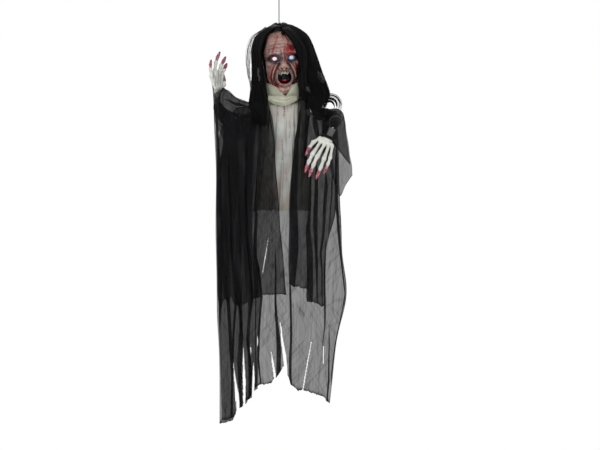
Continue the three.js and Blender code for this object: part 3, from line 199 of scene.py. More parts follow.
# Plain painted sleeve of a dry cell: a grey metallic lacquer, with no lettering.
cell_cloud = (12, 0.4, 0.6, ["#7d838a", "#8f959b"])
cell_jacket = finish("painted_cell_sleeve", cell_cloud, (1.5, 0.03), Metallic=0.6, Roughness=0.35)

# Braided polyester cord: dark grey, with the diagonal of its braid.
cord_gloss = {"Roughness": 0.75, "IOR": 1.55, "Specular_IOR_Level": 0.15}
braid, tree, shader, place = substance("braided_polyester", **cord_gloss)
lay = {"Vector": place, "Scale": 1 / (1.6 * MM * WAVE), "Distortion": 1.5}
strands = add(tree, "ShaderNodeTexWave", lay, bands_direction="DIAGONAL").outputs["Fac"]
ramp = add(tree, "ShaderNodeValToRGB", {"Fac": strands})
ramp.color_ramp.elements[0].color = linear("#131315")
ramp.color_ramp.elements[1].color = linear("#2b2b2f")
tree.links.new(ramp.outputs["Color"], shader.inputs["Base Color"])
bump = add(tree, "ShaderNodeBump", {"Height": strands, "Strength": 0.7, "Distance": 0.15 * MM})
tree.links.new(bump.outputs["Normal"], shader.inputs["Normal"])

# Painted latex: a mauve-tan sprayed coat, mottled, with painted shade in its folds and a painted highlight
# on its ridges.
# Its masks are worked out below, from the lines that the skin is sculpted with.
skin_latex, tree, shader, place = substance("painted_latex_skin", Roughness=0.5, IOR=1.52)
coat = clouded(tree, place, 14, 0.3, 0.7, ["#70504b", "#8d6860", "#a28379", "#845b55"], detail=6)
# Painted shade darkens the folds and a painted highlight lightens the ridges.
fold_shade_and_ridge_highlight = [("ridge", "#c6aa9c", 0.65), ("fold", "#422629", 1.0)]
# Bruise is paint; the hollow mask is black paint round the eyes and lips, and painted shade inside the
# shell.
bruise_paint_and_hollow_shade = [("bruise", "#33222e", 1.0), ("hollow", "#120c10", 1.0)]
coat = painted(tree, coat, fold_shade_and_ridge_highlight + bruise_paint_and_hollow_shade)
coat, wet = spattered(tree, place, coat, "blood", linear("#7a0e14"), 1.6, 0.78, 1.02, detail=5)
tree.links.new(coat, shader.inputs["Base Color"])
gloss = add(tree, "ShaderNodeMapRange", {"Value": wet, 3: 0.52, 4: 0.22})
tree.links.new(gloss.outputs[0], shader.inputs["Roughness"])
pebble(tree, shader, place, 1.1, 0.16, detail=5)

# The same latex painted black inside the mouth, glossy as if wet.
mouth_cloud = (8, 0.35, 0.7, ["#0d0708", "#1d0d10"])
mouth_latex = finish("painted_latex_black", mouth_cloud, (2.5, 0.2), Roughness=0.35, IOR=1.52)

# Tongue: dark red latex with a pebbled top.
tongue_cloud = (5, 0.3, 0.7, ["#5c1219", "#8a1f28", "#a5333a"])
tongue_latex = finish("painted_latex_red", tongue_cloud, (1.3, 0.3), Roughness=0.3, IOR=1.52)

# Teeth: ivory paint under clear lacquer, dark red at the gum.
tooth_paint = finish(
    "lacquered_ivory_paint",
    (4, 0.3, 0.7, ["#dcd4bc", "#f0ebdb"]),
    (1.5, 0.05),
    layers=[("gum", "#5a1c1c", 1.0)],
    Roughness=0.25,
    IOR=1.5,
    Coat_Weight=0.4,
)


def lit_eye(name, core, rim, glow):
    """Clear acrylic with a lamp behind it: the glow is strongest at the middle of the iris."""
    material, tree, shader, place = substance(name, Roughness=0.12, IOR=1.49, Coat_Weight=0.6)
    streaks = add(tree, "ShaderNodeTexNoise", {"Vector": place, "Scale": 1 / (3 * MM), "Detail": 3})
    mask = add(tree, "ShaderNodeAttribute", attribute_name="iris").outputs["Fac"]
    mottled = add(tree, "ShaderNodeMath", {0: mask, 1: streaks.outputs["Fac"]}, operation="MULTIPLY")
    spread = add(tree, "ShaderNodeMapRange", {"Value": mottled.outputs[0], 1: 0.12, 2: 0.5})
    lights = {0: spread.outputs[0], 6: linear(rim), 7: linear(core)}
    colour = add(tree, "ShaderNodeMix", lights, data_type="RGBA").outputs[2]
    tree.links.new(colour, shader.inputs["Base Color"])
    tree.links.new(colour, shader.inputs["Emission Color"])
    shader.inputs["Emission Strength"].default_value = glow
    return material


eye_pink = lit_eye("lit_acrylic_pink", "#f4d0da", "#8a2f4c", 0.42)
eye_blue = lit_eye("lit_acrylic_blue", "#a9b6cf", "#5d6f92", 0.32)

# Polyester wig hair: black with a narrow satin glint along the strand.
hair_gloss = {"Roughness": 0.42, "IOR": 1.55, "Specular_IOR_Level": 0.07}
hair_black, tree, shader, place = substance("polyester_hair_black", **hair_gloss)
coat = clouded(tree, place, 5, 0.35, 0.75, ["#030203", "#060505", "#100e0f"], stretch=(3, 3, 0.35))
tree.links.new(coat, shader.inputs["Base Color"])
ripple = add(tree, "ShaderNodeMapping", {"Vector": place, "Scale": (6, 6, 0.3)})
strand = add(tree, "ShaderNodeTexNoise", {"Vector": ripple.outputs[0], "Scale": 1 / (4 * MM), "Detail": 3})
bump = add(tree, "ShaderNodeBump", {"Height": strand.outputs["Fac"], "Strength": 0.8, "Distance": 0.5 * MM})
tree.links.new(bump.outputs["Normal"], shader.inputs["Normal"])

# The same hair in grey, a painted highlight for light through thin ends and for glints on single hairs.
hair_grey_painted_highlight, tree, shader, place = substance("polyester_hair_painted_highlight", Roughness=0.45, IOR=1.55)
tree.links.new(clouded(tree, place, 6, 0.35, 0.7, ["#4a484a", "#7a7879"]), shader.inputs["Base Color"])

# Bone: off-white paint on hard plastic, brown wash in the hollows, red and black at the finger ends.
bone_paint, tree, shader, place = substance("painted_bone_plastic", Roughness=0.55, IOR=1.5)
coat = clouded(tree, place, 9, 0.3, 0.75, ["#b7b7ae", "#cccdc5", "#dcddd6"], detail=5)
coat = painted(tree, coat, [("wash", "#6f6a62", 0.75), ("deep", "#1c1a1a", 1.0)])
stain = clouded(tree, place, 4, 0.35, 0.7, ["#5e1423", "#a83a52", "#c98393"])
coat, _ = spattered(tree, place, coat, "dip", stain, 3.2, 0.75, 1.1)
coat = painted(tree, coat, [("nail", "#2a1218", 0.8)])
tree.links.new(coat, shader.inputs["Base Color"])
pebble(tree, shader, place, 1.4, 0.18, detail=4)


def woven(name, thread_mm, lift_mm, **sockets):
    """Woven cloth: its threads are drawn coarser than real so that they show at all."""
    material, tree, shader, place = substance(name, IOR=1.5, **sockets)
    threads = {"Vector": place, "Scale": 1 / (thread_mm * MM * WAVE), "Distortion": 0.6}
    rows = [add(tree, "ShaderNodeTexWave", threads, bands_direction=run).outputs["Fac"] for run in "XZ"]
    cross = add(tree, "ShaderNodeMath", {0: rows[0], 1: rows[1]}, operation="MAXIMUM").outputs[0]
    bump = add(tree, "ShaderNodeBump", {"Height": cross, "Strength": 0.5, "Distance": lift_mm * MM})
    tree.links.new(bump.outputs["Normal"], shader.inputs["Normal"])
    return material, tree, shader, place


# Stiffened cream cotton of the collar and cravat; greenish grey at collar edges, painted shade in cravat
# pleats.
collar_cotton, tree, shader, place = woven("stiffened_cream_cotton", 0.9, 0.12, Roughness=0.85)
coat = clouded(tree, place, 22, 0.3, 0.72, ["#9c9c86", "#abab98", "#b6b6a4"], detail=4)
tree.links.new(painted(tree, coat, [("edge_dark_and_pleat_shade", "#878872", 0.9)]), shader.inputs["Base Color"])

# Thin shirt cotton: cream at the neck, grey-white over the chest, stained brown at the foot.
shirt_cotton, tree, shader, place = woven("thin_stained_cotton", 0.9, 0.1, Roughness=0.9)
coat = clouded(tree, place, 30, 0.3, 0.7, ["#939894", "#aaaeaa", "#b9bcb8"], detail=4)
coat = painted(tree, coat, [("cream", "#b9b6ac", 0.8), ("mud", "#958b83", 0.9), ("olive", "#82826e", 0.8)])
coat, _ = spattered(tree, place, coat, "blood", linear("#80504f"), 5, 0.75, 1.35)
tree.links.new(coat, shader.inputs["Base Color"])

# Knitted black sleeve over foam: soft, a little fuzzy.
knit, tree, shader, place = woven("knitted_black_polyester", 1.6, 0.35, Roughness=0.9, Sheen_Weight=0.08)
shader.inputs["Specular IOR Level"].default_value = 0.15
tree.links.new(clouded(tree, place, 16, 0.35, 0.7, ["#040405", "#0a0a0b"]), shader.inputs["Base Color"])


# Polyester gauze: about a quarter of it is open. The pulled threads that run down the cloth,
# and the creases that cross it both ways, are drawn millimetres wide so that they show.
def gauze_cloth(name, cover):
    material, tree, shader, place = substance(name, Roughness=0.8, IOR=1.5, Specular_IOR_Level=0.1)
    tone = clouded(tree, place, 14, 0.4, 0.75, ["#08080a", "#101012", "#242427"], stretch=(1, 1, 0.12))
    tree.links.new(tone, shader.inputs["Base Color"])
    fine = add(tree, "ShaderNodeMapping", {"Vector": place, "Scale": (1, 1, 0.08)}).outputs[0]
    pulled = add(tree, "ShaderNodeTexNoise", {"Vector": fine, "Scale": 1 / (5 * MM), "Detail": 4})
    covers = {"Value": pulled.outputs["Fac"], 1: 0.3, 2: 0.7, 3: cover - 0.05, 4: cover + 0.03}
    total = add(tree, "ShaderNodeMapRange", covers).outputs[0]
    for slope, size_mm, dark in ((0.75, 14, 0.06), (-0.5, 18, 0.055), (0.14, 11, 0.08)):
        lie = {"Vector": place, "Rotation": (0, slope, 0), "Scale": (1, 3, 14)}
        turned = add(tree, "ShaderNodeMapping", lie, vector_type="TEXTURE").outputs[0]
        crease = {"Vector": turned, "Scale": 1 / (size_mm * MM), "Detail": 0}
        swell = add(tree, "ShaderNodeTexNoise", crease).outputs["Fac"]
        off = add(tree, "ShaderNodeMath", {0: swell, 1: 0.5}, operation="SUBTRACT").outputs[0]
        off = add(tree, "ShaderNodeMath", {0: off}, operation="ABSOLUTE").outputs[0]
        line = add(tree, "ShaderNodeMapRange", {"Value": off, 1: 0.0, 2: 0.035, 3: dark, 4: 0.0})
        total = add(tree, "ShaderNodeMath", {0: total, 1: line.outputs[0]}, operation="ADD").outputs[0]
    hem = add(tree, "ShaderNodeAttribute", attribute_name="dense").outputs["Fac"]
    full = add(tree, "ShaderNodeMath", {0: total, 1: hem}, operation="ADD", use_clamp=True)
    tree.links.new(full.outputs[0], shader.inputs["Alpha"])
    return material


gauze = gauze_cloth("open_polyester_gauze", 0.77)


# Making pieces.
def piece(name, points, faces, material, slot, body=None, stands_for=(), masks=None):
    """A mesh piece in the frame's metres, with its painted masks, riding on a body."""
    data = bpy.data.meshes.new(name)
    faces = faces.tolist() if isinstance(faces, np.ndarray) else [list(f) for f in faces]
    data.from_pydata(np.asarray(points, float).tolist(), [], faces)
    data.validate()
    for key, values in (masks or {}).items():
        layer = data.attributes.new(key, "FLOAT", "POINT")
        layer.data.foreach_set("value", np.asarray(values, np.float32))
    data.materials.append(material)
    data.shade_smooth()
    made = bpy.data.objects.new(name, data)
    bpy.context.collection.objects.link(made)
    if body:
        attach(made, body)
    if stands_for:
        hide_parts(*stands_for)
    return made


def face_out(piece_made):
    """Turns every closed part's faces outward."""
    work = bmesh.new()
    work.from_mesh(piece_made.data)
    bmesh.ops.recalc_face_normals(work, faces=work.faces)
    work.to_mesh(piece_made.data)
    work.free()
    return piece_made


def relaxed(piece_made, times):
    """Evens out the small steps of a surface that was sampled in cells."""
    even = piece_made.modifiers.new("relax", "SMOOTH")
    even.factor, even.iterations = 0.5, times


def rounded(piece_made):
    """Subdivides a coarse closed form once, so that it is round."""
    finer = piece_made.modifiers.new("round", "SUBSURF")
    finer.levels = finer.render_levels = 1


def refinish(node, material):
    """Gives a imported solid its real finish."""
    data = bpy.data.objects[node].data
    data.materials.clear()
    data.materials.append(material)


def skin_of(field, low, step):
    """The closed surface where a sampled field is zero: one point in each cell it crosses."""
    shape = np.array(field.shape)
    inside = field < 0
    total = np.zeros(tuple(shape - 1) + (3,))
    count = np.zeros(tuple(shape - 1))
    quads = []
    axes = np.eye(3, dtype=int)
    for axis in range(3):
        one, two = (axis + 1) % 3, (axis + 2) % 3
        near = [slice(None)] * 3
        far = [slice(None)] * 3
        near[axis], far[axis] = slice(0, -1), slice(1, None)
        a, b = field[tuple(near)], field[tuple(far)]
        cross = inside[tuple(near)] != inside[tuple(far)]
        where = np.argwhere(cross)
        share = (a[cross] / (a[cross] - b[cross]))[:, None]
        spot = where + axes[axis] * share
        keep = np.all(
            [(where[:, k] > 0) & (where[:, k] < shape[k] - 1) for k in (one, two)], axis=0
        )
        where, spot = where[keep], spot[keep]
        starts = inside[tuple(near)][cross][keep]
        around = []
        for i, j in ((0, 0), (1, 0), (1, 1), (0, 1)):
            cell = where - i * axes[one] - j * axes[two]
            np.add.at(total, tuple(cell.T), spot)
            np.add.at(count, tuple(cell.T), 1)
            around.append(np.ravel_multi_index(tuple(cell.T), tuple(shape - 1)))
        quad = np.stack(around, 1)
        quad[~starts] = quad[~starts][:, ::-1]
        quads.append(quad)
    used = count > 0
    number = np.full(count.shape, -1)
    number[used] = np.arange(used.sum())
    points = total[used] / count[used][:, None] * step + np.array(low)
    return points, number.ravel()[np.concatenate(quads)]


def grid_over(low, high, step):
    """Broadcasting coordinates of a box of samples."""
    ticks = [np.arange(l, h + step, step) for l, h in zip(low, high)]
    return np.meshgrid(*ticks, indexing="ij", sparse=True)


def melt(a, b, blend):
    """Two distances joined softly over a width."""
    h = np.maximum(blend - np.abs(a - b), 0) / blend
    return np.minimum(a, b) - h * h * blend / 4


def egg(x, y, z, centre, size):
    """Nearly the distance to an ellipsoid."""
    q = [(v - c) / s for v, c, s in zip((x, y, z), centre, size)]
    k = np.sqrt(q[0] ** 2 + q[1] ** 2 + q[2] ** 2)
    slope = np.sqrt(sum((v / s) ** 2 for v, s in zip(q, size)))
    return k * (k - 1) / np.maximum(slope, 1e-9)


def limb(x, y, z, a, b, ra, rb):
    """Distance to a tapered capsule from a to b."""
    a, b = np.array(a, float), np.array(b, float)
    d = b - a
    t = ((x - a[0]) * d[0] + (y - a[1]) * d[1] + (z - a[2]) * d[2]) / (d @ d)
    t = np.clip(t, 0, 1)
    gap = (x - a[0] - t * d[0]) ** 2 + (y - a[1] - t * d[1]) ** 2 + (z - a[2] - t * d[2]) ** 2
    return np.sqrt(gap) - (ra + (rb - ra) * t)


def off_line(u, v, line):
    """Distance in a plane from each (u, v) to a polyline."""
    best = np.full(np.broadcast(u, v).shape, 1e9)
    for (a, b), (c, d) in zip(line, line[1:]):
        du, dv = c - a, d - b
        t = np.clip(((u - a) * du + (v - b) * dv) / max(du * du + dv * dv, 1e-9), 0, 1)
        best = np.minimum(best, np.hypot(u - a - t * du, v - b - t * dv))
    return best


def bell(x, half, middle=0):
    """1 at the middle, falling off smoothly to 0.37 at half to either side."""
    return np.exp(-(((x - middle) / half) ** 2))


def smooth_step(x, low, high):
    """0 below low, 1 above high, eased between."""
    t = np.clip((x - low) / (high - low), 0, 1)
    return t * t * (3 - 2 * t)


def spline(ends, i, t):
    """Points at share t of the smooth curve from each point i + 1 of a line to the next."""
    a, b, c, d = ends[i], ends[i + 1], ends[i + 2], ends[i + 3]
    bend = (2 * a - 5 * b + 4 * c - d) * t**2 + (3 * b - a - 3 * c + d) * t**3
    return 0.5 * (2 * b + (c - a) * t + bend)


def led_out(points):
    """A line with one more point at each end, straight on."""
    return np.vstack([2 * points[0] - points[1], points, 2 * points[-1] - points[-2]])


def along(points, n):
    """n points spaced evenly along a smooth curve through the given ones."""
    p = np.array(points, float)
    t = np.linspace(0, 1, 12, endpoint=False)[None, :, None]
    fine = spline(led_out(p)[:, None], np.arange(len(p) - 1), t)
    return evenly(np.vstack([fine.reshape(-1, p.shape[1]), p[-1:]]), n)


def evenly(line, n):
    """n points spaced evenly along a polyline."""
    run = np.concatenate([[0], np.cumsum(np.linalg.norm(np.diff(line, axis=0), axis=1))])
    marks = np.linspace(0, run[-1], n)
    return np.stack([np.interp(marks, run, line[:, k]) for k in range(line.shape[1])], 1)


def ring_faces(rings, sides):
    """Faces over rings of points: the skin, then a cap at each end."""
    i, k = np.meshgrid(np.arange(rings - 1) * sides, np.arange(sides), indexing="ij")
    m = (k + 1) % sides
    faces = np.stack([i + k, i + m, i + sides + m, i + sides + k], 2).reshape(-1, 4).tolist()
    last = (rings - 1) * sides
    return faces + [list(range(sides))[::-1], list(range(last, last + sides))]


def tube(line, radii, sides):
    """Points and faces of a round tube along a line of points."""
    line = np.array(line, float)
    n = len(line)
    ahead = np.gradient(line, axis=0)
    ahead /= np.linalg.norm(ahead, axis=1)[:, None] + 1e-12
    across = np.empty_like(line)
    side = np.cross(ahead[0], [0.13, 0.91, 0.37])
    for i in range(n):
        side = side - ahead[i] * (side @ ahead[i])
        side /= math.sqrt(side @ side) + 1e-12
        across[i] = side
    up = np.cross(ahead, across)
    turn = np.linspace(0, 2 * math.pi, sides, endpoint=False)[None, :, None]
    spread = np.cos(turn) * across[:, None] + np.sin(turn) * up[:, None]
    points = line[:, None] + np.broadcast_to(radii, n)[:, None, None] * spread
    return points.reshape(-1, 3), ring_faces(n, sides)


def gather(parts):
    """Several (points, faces) as one."""
    points, faces, base = [], [], 0
    for p, f in parts:
        points.append(np.asarray(p))
        faces += [[i + base for i in face] for face in f]
        base += len(p)
    return np.vstack(points), faces


# The hanging cord, taut from the eye of the rod to its knot and loop.
cord_low, cord_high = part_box("hanging_cord")
cord_width = cord_high[0] - cord_low[0]
cord_length = cord_high[2] - cord_low[2]
cord_steps = 19
cord_line = [(0, 0, cord_low[2] + cord_length * k / cord_steps) for k in range(cord_steps + 1)]
points, faces = tube(cord_line[::-1], cord_width / 2 * 0.97, 10)
cord = piece("hanging_cord_braided", points, faces, braid, "black_cord", "frame", ["hanging_cord"])
refinish("cord_end_loop", braid)


# The head: a moulded latex ghoul mask and the shell behind it.
joints = {joint["name"]: joint for joint in frame["record"]["behaviour"]["joints"]}
neck = Vector(joints["head_turn"]["pos_m"])
neck_axis = Vector(joints["head_turn"]["axis"])
face_turn = math.radians(4)
head_place = (
    Matrix.Translation(neck)
    @ Matrix.Rotation(math.atan2(neck_axis.x, neck_axis.z), 4, "Y")
    @ Matrix.Rotation(face_turn, 4, "Z")
    @ Matrix.Scale(MM, 4)
)


def on_head(points):
    """Head millimetres to the frame's metres."""
    m = np.array(head_place)
    return np.asarray(points, float) @ m[:3, :3].T + m[:3, 3]


WIDTH, DEPTH, HEIGHT, BASE = 96, 125, 165, 8
SPLIT = DEPTH * 0.08
WALL = 3
# The mask and the back shell stand this far apart at their seam, twice over.
SEAM = 0.15
# The hole for the rod: its radius, and the height in the head that it starts at.
ROD_HOLE, ROD_FROM = 2.9, 40
# The room round an eyeball, and how far back from the face the mouth and the eyes are open.
BALL_ROOM, MOUTH_BACK, EYE_BACK = 10.4, -6, -20

# Ellipsoids in shares of width, depth and height: centre, then half sizes.
HEAD_FORMS = [
    [(0, 0.1, 0.66), (0.5, 0.48, 0.335)],
    [(0, -0.1, 0.42), (0.415, 0.29, 0.36)],
    [(0, -0.25, 0.115), (0.19, 0.14, 0.115)],
    [(0.2, -0.08, 0.26), (0.17, 0.2, 0.17)],
    [(0.17, -0.315, 0.61), (0.17, 0.075, 0.04)],
    [(0, -0.34, 0.6), (0.1, 0.06, 0.05)],
    [(0.28, -0.22, 0.46), (0.13, 0.12, 0.065)],
    [(0, -0.36, 0.5), (0.05, 0.09, 0.12)],
    [(0, -0.435, 0.405), (0.1, 0.095, 0.058)],
    [(0.098, -0.385, 0.385), (0.055, 0.066, 0.038)],
    [(0, -0.31, 0.235), (0.25, 0.12, 0.17)],
    [(0, -0.385, 0.335), (0.16, 0.05, 0.03)],
    [(0, -0.365, 0.13), (0.13, 0.05, 0.03)],
    [(0, 0.02, 0.06), (0.27, 0.24, 0.28)],
]
EYE = (0.203 * WIDTH, -0.264 * DEPTH, BASE + 0.515 * HEIGHT)
MOUTH = (0, -0.24 * DEPTH, BASE + 0.236 * HEIGHT)
MOUTH_HALF = (16, 14.5)


def in_head(share):
    """A place given in shares of the head, in millimetres."""
    return share[0] * WIDTH, share[1] * DEPTH, share[2] * HEIGHT + BASE


# Folds of the skin as (x, z) lines in millimetres: depth, half width, line, and whether
# the other cheek has it too.
FOLDS = [
    (1.3, 1.5, [(-30, 122), (-20, 127), (-8, 126), (3, 128), (15, 126), (24, 121)], False),
    (1.4, 1.5, [(-33, 115), (-20, 119.5), (-6, 118), (6, 120.5)], False),
    (1.2, 1.4, [(-33, 108.5), (-22, 112), (-10, 110.5)], False),
    (0.9, 1.3, [(-24, 134), (-10, 135), (4, 136)], False),
    (1.8, 1.8, [(3.6, 99), (3.2, 106), (5, 113)], True),
    (1.2, 1.4, [(-6, 93), (0, 91), (6, 93)], False),
    (1.1, 1.3, [(-5.5, 87.5), (0, 86), (5.5, 87.5)], False),
    (3.4, 2.8, [(9.5, 80), (15, 74), (20, 64), (23.5, 53), (24, 41), (19, 31)], True),
    (2.0, 2.3, [(16, 83), (24, 76), (29.5, 64), (31, 50), (28, 38)], True),
    (1.2, 1.6, [(27, 81), (33, 70), (35, 58), (34, 46)], True),
    (1.6, 1.8, [(29, 85), (22, 81.5), (14, 82), (9.5, 86)], True),
    (1.0, 1.2, [(31, 93), (38, 97)], True),
    (1.0, 1.2, [(31, 90), (38, 89)], True),
    (0.9, 1.1, [(30, 87), (37, 82)], True),
    (1.8, 2.2, [(13, 27), (6, 24.6), (0, 24), (-6, 24.6), (-13, 27)], False),
    (1.3, 1.8, [(26, 35), (21, 25), (12, 16)], True),
    (0.9, 1.3, [(1.5, 22), (0.8, 15), (1, 11)], False),
    (1.0, 1.2, [(4, 66), (5, 62.6)], True),
    (1.7, 1.7, [(10, 81), (14.5, 75), (14, 67), (10.5, 64)], True),
    (1.2, 1.7, [(-9, 64), (0, 62.2), (9, 64)], False),
]
RIDGES = [
    (2.2, 3.4, [(29, 104), (20, 106), (11, 101.5)], True),
    (1.5, 2.6, [(14, 80), (20.5, 70), (26.5, 58), (28, 46)], True),
    (1.4, 2.4, [(22, 84.5), (31, 82)], True),
    (1.5, 2.6, [(-11, 20), (0, 17.5), (11, 20)], False),
]


def creasing(x, z, lines):
    """How deep a set of lines has cut at each place."""
    total = np.zeros(np.broadcast(x, z).shape)
    for depth, half, line, both in lines:
        for flip in (1, -1) if both else (1,):
            gap = off_line(x * flip, z, line)
            total += depth * bell(gap, half)
    return total


def ring_off(x, z, centre_x, centre_z, half_x, half_z):
    """Signed distance, nearly, in the face's plane from an oval opening."""
    share = np.hypot((x - centre_x) / half_x, (z - centre_z) / half_z)
    return (share - 1) * min(half_x, half_z)


def mouth_edge(x, z):
    """The gape: squared off above and rounder below."""
    rise = z - MOUTH[2]
    half_x = MOUTH_HALF[0] * (1 - 0.1 * smooth_step(-rise, 2, 14))
    share = (np.abs(x / half_x) ** 2.6 + np.abs(rise / MOUTH_HALF[1]) ** 2.4) ** (1 / 2.5)
    return (share - 1) * MOUTH_HALF[1]


def head_field(x, y, z):
    """Distance to the ghoul's bare head, in millimetres."""
    body = None
    for centre, size in HEAD_FORMS:
        c = in_head(centre)
        r = (size[0] * WIDTH, size[1] * DEPTH, size[2] * HEIGHT)
        lump = egg(np.abs(x), y, z, c, r)
        body = lump if body is None else melt(body, lump, 7)
    socket_size = (0.125 * WIDTH, 0.105 * DEPTH, 0.055 * HEIGHT)
    socket = egg(np.abs(x), y, z, in_head((0.203, -0.45, 0.515)), socket_size)
    return -melt(-body, socket, 7)


# Half width and half height of each eye's opening, by side.
LIDS = {-1: (6.4, 3.2), 1: (7.0, 4.0)}
NOSTRIL = (5.2, -57.5, 67.6)


def skin_cut(x, z):
    """How deep the skin is cut in: its folds, less its ridges, lips and lids."""
    lips = mouth_edge(x, z)
    cut = creasing(x, z, FOLDS) - creasing(x, z, RIDGES)
    cut = cut - 2.0 * bell(lips, 2.0, 2.2) + 1.0 * bell(lips, 1.5, 6.0)
    for side, half in LIDS.items():
        lid = ring_off(x, z, side * EYE[0], EYE[2], *half)
        cut = cut - 1.9 * bell(lid, 1.4, 1.8) + 0.8 * bell(lid, 1.4, 5.2)
    return cut


def chin_aside(x, y, z):
    """The jaw hangs a little to the figure's right."""
    return x + 0.1 * np.maximum(0, 38 - z) * smooth_step(-y, 0, 20)


step = 1.15
low, high = (-52.0, -68.0, 0.0), (52.0, 74.0, 176.0)
x, y, z = grid_over(low, high, step)
x = chin_aside(x, y, z)
bare = head_field(x, y, z)
ahead = smooth_step(-y, 4, 26)
cut = skin_cut(x, z) * ahead
body = bare + cut
hollow = np.maximum(body, -(bare + WALL + np.clip(cut, -1, 4)))
shut = np.maximum(hollow, -np.maximum(mouth_edge(x, z), y - MOUTH_BACK))
for side, half in LIDS.items():
    nostril = egg(x, y, z, (side * NOSTRIL[0], *NOSTRIL[1:]), (2.6, 5.0, 2.4))
    shut = np.maximum(shut, -nostril)
    lid = np.maximum(ring_off(x, z, side * EYE[0], EYE[2], *half), y - EYE_BACK)
    ball = np.sqrt((x - side * EYE[0]) ** 2 + (y - EYE[1]) ** 2 + (z - EYE[2]) ** 2) - BALL_ROOM
    shut = np.maximum(shut, -np.minimum(lid, ball))
shut = np.maximum(shut, -np.maximum(np.hypot(x, y) - ROD_HOLE, ROD_FROM - z))
shut = np.maximum(shut, 0.3 - z)
front = np.maximum(shut, y - (SPLIT - SEAM))
rear = np.maximum(shut, (SPLIT + SEAM) - y)

# Paint of the mask, as (x, z) lines: strength, half width, line.
BLOOD = [
    (0.7, 1.6, [(6, 155), (10, 144), (15, 133), (13, 122)]),
    (0.8, 2.0, [(14, 112), (9, 101), (8.5, 92), (7, 86)]),
    (0.6, 1.6, [(20, 118), (27, 104)]),
    (0.56, 2.3, [(-8, 145), (-14, 131), (-20, 117), (-26, 105)]),
    (0.5, 1.6, [(-13, 139), (-19, 126), (-23, 114)]),
    (0.62, 2.6, [(-21, 78), (-27, 66), (-31, 51), (-30, 40), (-28, 34)]),
    (0.6, 1.2, [(-20, 82), (-23, 74)]),
    (0.62, 4.0, [(29, 80), (32, 66), (31, 50), (29, 40)]),
    (0.8, 2.4, [(-15, 33), (-18, 30), (-15, 26)]),
    (0.6, 1.4, [(-7, 31), (-8, 25)]),
]
# The smear over the left brow: its middle in x and z, then its half sizes.
BLOOD_PATCH = (15.5, 112, 15, 15)


def face_paint(p):
    """The masks at points of the mask, in head millimetres: its paint, painted shade in its folds and
    inside the shell, and a painted highlight on its ridges.
    """
    x, y, z = p.T
    x = chin_aside(x, y, z)
    ahead = smooth_step(-y, 2, 20)
    # The folds carry painted shade and the ridges a painted highlight.
    fold = creasing(x, z, FOLDS)
    ridge = creasing(x, z, RIDGES)
    bruise = np.zeros(len(p))
    hollow_paint_and_shade = np.zeros(len(p))
    for side, half in LIDS.items():
        around = ring_off(x, z, side * (EYE[0] + 0.8), EYE[2] - 0.5, 16, 11.5)
        bruise = np.maximum(bruise, smooth_step(-around, -4, 2.5))
        rim = ring_off(x, z, side * EYE[0], EYE[2], *half)
        hollow_paint_and_shade = np.maximum(hollow_paint_and_shade, 1 - smooth_step(rim, 1.6, 7.5))
    frown = off_line(np.abs(x), z, [(3, 104), (11, 102), (24, 107)])
    bruise = np.maximum(bruise, 0.75 * bell(frown, 2.4))
    lips = mouth_edge(x, z)
    bruise = np.maximum(bruise, 0.6 * bell(lips, 1.8, 1.5))
    inside = 1 - smooth_step(lips, -0.6, 0.9)
    blood = np.zeros(len(p))
    for strength, half, line in BLOOD:
        gap = off_line(x, z, line)
        blood = np.maximum(blood, strength * bell(gap, half))
    px, pz, wide, tall = BLOOD_PATCH
    blood = np.maximum(blood, 0.6 * np.exp(-(((x - px) / wide) ** 4) - ((z - pz) / tall) ** 4))
    # Painted shade: the inside of the shell, under the skin, is painted near black.
    within = head_field(x, y, z) + skin_cut(x, z) * smooth_step(-y, 4, 26) < -1.5
    hollow_paint_and_shade = np.maximum(hollow_paint_and_shade, inside) * ahead
    hollow_paint_and_shade[within] = 1
    return {
        "fold": np.clip(fold / 2.6, 0, 1) * ahead,
        "ridge": np.clip(ridge / 2, 0, 1) * ahead,
        "bruise": bruise * ahead,
        "hollow": hollow_paint_and_shade,
        "blood": blood * ahead,
    }


for name, field, node in (
    ("ghoul_mask_front", front, "face_mask"),
    ("ghoul_mask_back", rear, "head_back_shell"),
):
    points, quads = skin_of(field, low, step)
    paint = face_paint(points)
    relaxed(piece(name, on_head(points), quads, skin_latex, "skin_latex", "head", [node], paint), 2)

# Eyes: the moulded balls, with a pale lit iris that looks straight ahead.
BALL_RADIUS, IRIS_RISE = 10, 0.35
rings, count = 24, 36
a = math.pi * (np.arange(rings + 1)[:, None] / rings) ** 1.15 * 0.93
b = 2 * math.pi * np.arange(count)[None, :] / count
bulge = BALL_RADIUS + IRIS_RISE * bell(a, 0.42)
off_axis = bulge * np.sin(a)
ball = np.stack([off_axis * np.cos(b), -bulge * np.cos(a) + 0 * b, off_axis * np.sin(b)], 2)
iris = (np.exp(-((a / 0.62) ** 4)) + 0 * b).ravel()
faces = ring_faces(rings + 1, count)
faces.pop(-2)
for side, name, node, material in (
    (-1, "eye_right_lit", "eyeball_right", eye_pink),
    (1, "eye_left_lit", "eyeball_left", eye_blue),
):
    points = on_head(ball.reshape(-1, 3) + (side * EYE[0], EYE[1], EYE[2]))
    face_out(piece(name, points, faces, material, "eye_glow", "head", [node], {"iris": iris}))

